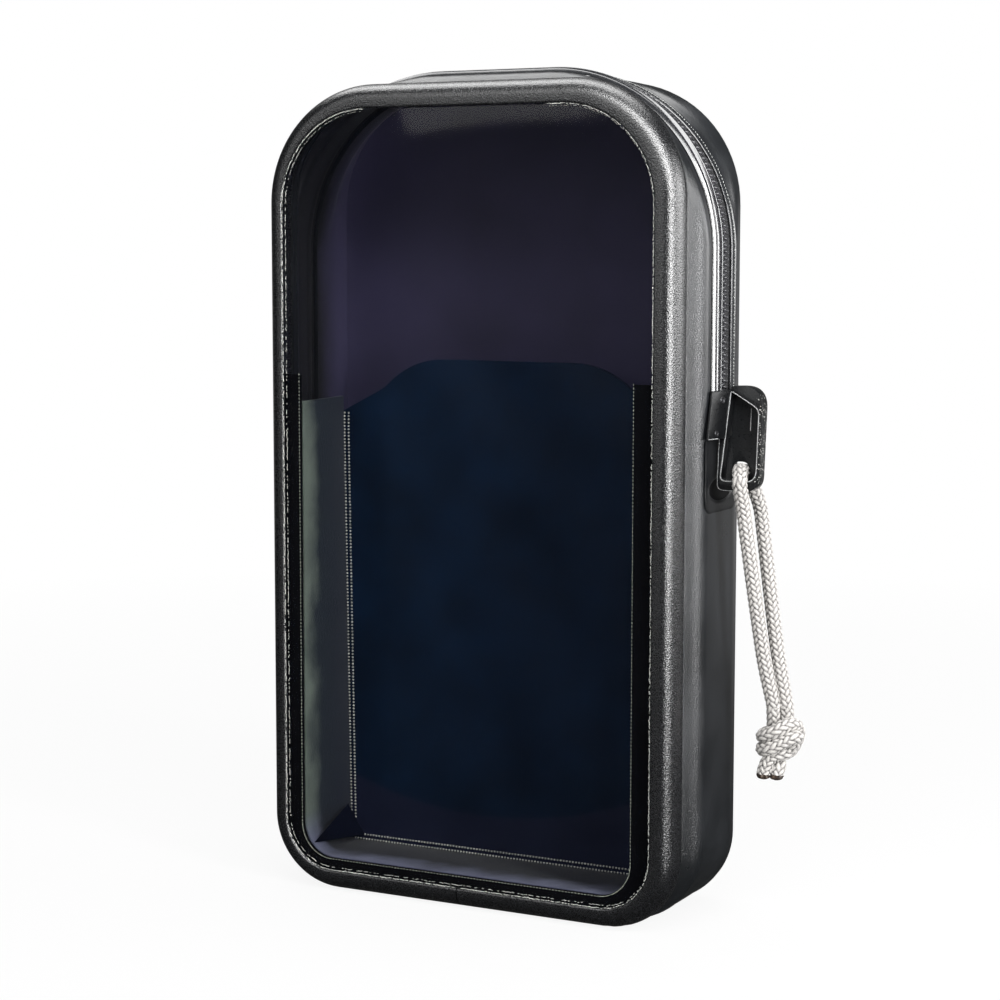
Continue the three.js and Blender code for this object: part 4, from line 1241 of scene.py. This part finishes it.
def turnedPiece(name, profile, centre, slope, body, finish, **rest):
    # A profile of radius and height, turned about an axis that leans from X towards the front
    tilt = math.atan(slope)
    axis = np.array((math.cos(tilt), -math.sin(tilt), 0))
    across = np.array((math.sin(tilt), math.cos(tilt), 0))
    turns = np.linspace(0, math.tau, 29)[:-1]
    circle = np.cos(turns)[:, None] * across + np.sin(turns)[:, None] * np.array((0, 0, 1))
    rings = [np.array(centre) + axis * h + circle * r for r, h in profile]
    return makePiece(name, np.array(rings), ringFaces(len(rings), len(turns)), finish, body, **rest)


def makePins():
    # Each pin stands in a shallow countersink, drawn as a raised ring round its head
    for name, (height, forward, r) in slider["pins"].items():
        half, _, slope = hoodSlope(height)
        profile = [(r * 0.95, -0.9), (r, 0), (r, 0.1), (r * 0.8, 0.2), (r * 0.62, 0.17), (r * 0.5, 0.08), (0.02, 0.1)]
        centre = (slider["flankX"] + (half - forward) * slope, zipper["depth"] - forward + leanAt(height), height)
        turnedPiece(
            f"hood_pin_{name}", profile, centre, slope, "slider", "steel", slot="slider_metal",
            replaces=[f"slider_pin_{name}"])


def makeCorePart(name, outline, low, high, bevel):
    part = prismPiece(
        name, outline, low, high, "x", "steel", body="slider", slot="slider_metal", replaces=["slider_core"])
    bevelEdges(part, bevel, 2)


def makeCore():
    # The neck passes down through the slit to a plate that runs inside the pouch
    low, high = slider["bottom"] + 1.2, slider["bottom"] + 4.5
    makeCorePart("slider_neck", [(-0.8, low), (0.8, low), (0.8, high), (-0.8, high)], 54, slider["roofX"] + 0.5, 0.2)
    low, high = slider["bottom"] + 0.6, slider["bottom"] + slider["length"] - 0.6
    plate = roundedShape([(-4, low, 1.2), (4, low, 1.2), (3.4, high, 1.2), (-3.4, high, 1.2)], 5)
    makeCorePart("slider_inner_plate", plate, 53, 54.5, 0.25)


# Pull cord: one braid, drawn as two halves that meet on top of the loop's lower bar

cord = {
    "diameter": 3.4, "x": 63.0, "swing": 1.5, "bar": 106.2, "bend": 3.75, "forward": 1.2, "drop": 1.5,
    "strands": 8, "braidPitch": 12.0, "relief": 0.36, "sides": 64, "step": 0.17, "pair": 1.5, "melted": 1.5,
    "frontLeg": [(1.85, -3.7, -6.5), (2.7, -3.1, -13.8), (4.4, -1.7, -28.2), (6.1, -0.1, -42.2)],
    "rearLeg": [(2.9, 4.2, -6.5), (4.0, 4.4, -14), (6.2, 3.7, -28.2), (8.5, 3.1, -42.2)],
}

# The knot's middle line, as right, away and up from its centre, each with the side that the pair of strands faces
knot = {
    "centre": (72.4, 23.0, 45.6), "turn": 27.4,
    "line": [
        ((0.1, 0.2, 8.6), (0, -1, 0)), ((0.3, 0.3, 4.6), (0, -1, 0)), ((0.5, 0.6, 0.4), (0, -1, 0)),
        ((1.6, 0.8, -2.6), (0.3, -1, -0.5)), ((3.4, 0.4, -1.8), (1, -0.4, -0.6)), ((4.0, -0.8, 1.2), (1, -0.6, 0.4)),
        ((2.2, -2.7, 1.9), (0.5, -1, 0.4)), ((-0.6, -3.1, 0.6), (0, -1, 0)), ((-3.2, -1.8, -0.9), (-1, -0.7, 0)),
        ((-3.6, 0.8, -1.3), (-1, 0.5, 0)), ((-1.4, 2.9, -1.0), (-0.2, 1, 0)), ((1.3, 2.3, -1.6), (0.6, 1, -0.2)),
        ((0.9, 0.3, -3.4), (0.6, 0.2, -1)), ((-1.0, -1.0, -5.4), (0.2, -1, -0.4)), ((-2.0, -1.2, -8.0), (0, -1, 0)),
        ((-2.2, -1.2, -9.9), (0, -1, 0)),
    ],
}


def evenSpaced(points, step):
    gaps = np.linalg.norm(np.diff(points, axis=0), axis=1)
    along = np.concatenate(([0], np.cumsum(gaps)))
    at = np.linspace(0, along[-1], max(3, round(along[-1] / step)) + 1)
    return np.column_stack([np.interp(at, along, points[:, i]) for i in range(3)]), along[-1]


def knotStrand(side):
    places = smoothLine([p for p, _ in knot["line"]], 8)
    faces = unit(smoothLine([f for _, f in knot["line"]], 8))
    tangents = unit(np.gradient(places, axis=0))
    offsets = unit(np.cross(tangents, faces)) * cord["pair"] * side
    local = places + offsets
    turn = math.radians(knot["turn"])
    right = np.array((math.cos(turn), math.sin(turn), 0))
    away = np.array((-math.sin(turn), math.cos(turn), 0))
    world = local[:, :1] * right + local[:, 1:2] * away + local[:, 2:] * np.array((0, 0, 1))
    return world + np.array(knot["centre"])


def cordHalf(leg, side, barSide):
    bend, askew = cord["bend"], leanAt(cord["bar"])
    over = [
        (cord["swing"] * math.sin(a), barSide * bend * math.sin(a) + askew, bend * math.cos(a) - cord["drop"])
        for a in np.radians((1, 20, 40, 60, 80))]
    middle = zipper["depth"] - cord["forward"]
    points = [(cord["x"] + x, middle + y, cord["bar"] + z) for x, y, z in [*over, *leg]]
    return np.vstack((points, knotStrand(side)[2:]))


def braidHeight(turns, along):
    # Yarns run both ways round, over two and under two, which shows as columns of slanting floats
    n, pitch = cord["strands"], cord["braidPitch"]
    a = turns * n + along / pitch * n
    b = -turns * n + along / pitch * n
    i, j = np.floor(a), np.floor(b)
    onTop = np.mod(j - i, 4) < 2
    across = np.where(onTop, a - i, b - j)
    lengthwise = np.where(onTop, np.mod(b - i, 4) / 2, (np.mod(j - a, 4) - 1) / 2)
    width = np.clip(np.sin(math.pi * across), 0, 1)
    length = np.clip(np.sin(math.pi * np.clip(lengthwise, 0, 1)), 0, 1)
    return np.sqrt(width) * length ** 0.4


def makeCordHalf(name, leg, side, barSide):
    route, length = evenSpaced(smoothLine(cordHalf(leg, side, barSide), 12), cord["step"])
    tangents = unit(np.gradient(route, axis=0))
    normal = unit(np.cross(tangents[0], (1, 0, 0.2)))
    sides, radius = cord["sides"], cord["diameter"] / 2
    turns = np.arange(sides) / sides
    rings, heights = [], []
    for i, (place, tangent) in enumerate(zip(route, tangents)):
        normal = unit(normal - tangent * np.dot(normal, tangent))
        binormal = np.cross(tangent, normal)
        height = braidHeight(turns, i * cord["step"])
        reach = radius + cord["relief"] * (height - 0.75)
        left = (len(route) - 1 - i) * cord["step"]
        if left < 1.0:  # the melted end is rounded off
            reach = reach * math.sqrt(max(1 - (1 - left) ** 2, 0.02))
        across, away = (part(turns * math.tau) * reach for part in (np.cos, np.sin))
        rings.append(place + normal * across[:, None] + binormal * away[:, None])
        heights.append(height)
    piece = makePiece(
        name, np.array(rings), ringFaces(len(rings), sides), ["cord", "melted"], "slider", slot="cord",
        replaces=["pull_cord", "pull_knot"], sharp=math.radians(80))
    attribute = piece.data.attributes.new("strandHeight", "FLOAT", "POINT")
    attribute.data.foreach_set("value", np.array(heights).ravel())
    ends = (len(rings) - round(cord["melted"] / cord["step"])) * sides
    for face in piece.data.polygons:
        if min(face.vertices) >= ends:
            face.material_index = 1
    exitPlace = toMetres([route[0]])[0]
    print(name, "length", round(length, 1))
    [tuple(p) for p in toMetres(route[::6])]


makeHood()
makeLoop()
makePaintedHighlights()
makePins()
makeCore()
print("slider made")
makeCordHalf("pull_cord_front", cord["frontLeg"], 1, -1)
makeCordHalf("pull_cord_rear", cord["rearLeg"], -1, 1)
print("cord made")

# Floor, light and world

studio = {
    "floorSize": 8, "floorColour": "#bdbdbd", "floorGlow": (0.9, 1.0), "floorFade": (0.12, 0.6),
    "floorBehind": (0.1, 0.7), "ambient": 0.25,
    "backdrop": (-0.2, 0.98, 0.0), "backdropEdge": (0.92, 1.0), "mirrored": 0.35, "room": 0.03, "dimFloor": 0.03,
    "lamps": {  # place, target, direction of its length, length, width and watts
        "side": ((0.455, -0.205, 0.24), (0.05, 0, 0.12), (0, 0, 1), 0.5, 0.09, 3.6),
        "top": ((0.22, -0.40, 0.60), (0, -0.02, 0.19), (1, 0.3, 0), 0.6, 0.26, 5.2),
        "over": ((-0.1, 0.14, 0.6), (0, 0, 0.2), (1, 0, 0), 0.6, 0.26, 2.2),
        "back": ((0.47, 0.18, 0.23), (0.055, 0, 0.17), (0, 0, 1), 0.2, 0.32, 1.3),
        "front": ((-0.3, -0.9, 0.5), (0, 0, 0.1), (1, 0, 0), 0.5, 0.5, 2.0),
    },
}


def rayKinds(tree):
    path = addNode(tree, "ShaderNodeLightPath").outputs
    direct = arithmetic(tree, "MAXIMUM", path["Is Camera Ray"], path["Is Transmission Ray"])
    glossy = arithmetic(tree, "MULTIPLY", path["Is Glossy Ray"], arithmetic(tree, "SUBTRACT", 1, direct))
    return direct, glossy


def makeFloor():
    # Matt studio floor: it runs out to plain white and keeps the object's shadow
    inputs = {"Base Color": linear(studio["floorColour"]), "Roughness": 0.9}
    material, tree, shader, place = startMaterial("pale_studio_floor", inputs)
    seen = rangeOf(tree, vectorOf(tree, "LENGTH", place, output="Value"), *studio["floorFade"], *studio["floorGlow"])
    behind = rangeOf(
        tree, axisOf(tree, place, "Y"), *studio["floorBehind"], studio["dimFloor"], studio["mirrored"])
    direct, glossy = rayKinds(tree)
    share = arithmetic(tree, "ADD", arithmetic(tree, "MULTIPLY", direct, seen), glossy)
    strength = arithmetic(tree, "ADD", direct, arithmetic(tree, "MULTIPLY", glossy, behind))
    glow = addNode(tree, "ShaderNodeEmission", {"Color": (1, 1, 1, 1), "Strength": strength})
    surfaces = {0: share, 1: shader.outputs["BSDF"], 2: glow.outputs["Emission"]}
    mix = addNode(tree, "ShaderNodeMixShader", surfaces)
    feed(tree, tree.nodes["Material Output"], "Surface", mix.outputs["Shader"])
    mesh = bpy.data.meshes.new("floor")
    half = studio["floorSize"] / 2
    mesh.from_pydata([(-half, -half, 0), (half, -half, 0), (half, half, 0), (-half, half, 0)], [], [(0, 1, 2, 3)])
    mesh.materials.append(material)
    addObject("floor", mesh)


def makeWorld():
    # A pale backdrop stands behind the object; reflections see it there, and the dark room elsewhere
    world = bpy.data.worlds.new("studio")
    world.use_nodes = True
    bpy.context.scene.world = world
    tree = world.node_tree
    direction = addNode(tree, "ShaderNodeTexCoord").outputs["Generated"]
    facing = vectorOf(tree, "DOT_PRODUCT", direction, studio["backdrop"], "Value")
    mirrored = rangeOf(tree, facing, *studio["backdropEdge"], studio["room"], studio["mirrored"])
    direct, glossy = rayKinds(tree)
    unseen = arithmetic(tree, "SUBTRACT", 1, arithmetic(tree, "ADD", direct, glossy))
    plain = arithmetic(tree, "MULTIPLY", unseen, studio["ambient"])
    reflected = arithmetic(tree, "MULTIPLY", glossy, mirrored)
    strength = arithmetic(tree, "ADD", arithmetic(tree, "ADD", plain, direct), reflected)
    background = tree.nodes["Background"]
    background.inputs["Color"].default_value = (1, 1, 1, 1)
    feed(tree, background, "Strength", strength)


def makeLamps():
    for name, (place, target, along, length, width, watts) in studio["lamps"].items():
        data = bpy.data.lights.new(name, "AREA")
        data.shape = "RECTANGLE"
        data.size, data.size_y, data.energy = length, width, watts
        lamp = addObject(name, data)
        back = (Vector(place) - Vector(target)).normalized()
        across = back.cross(Vector(along)).normalized()
        turned = Matrix((across.cross(back), across, back)).transposed().to_4x4()
        lamp.matrix_world = Matrix.Translation(place) @ turned
        lamp.visible_camera = False


makeFloor()
makeWorld()
makeLamps()
bpy.context.scene.view_settings.view_transform = "Standard"
print("studio made")
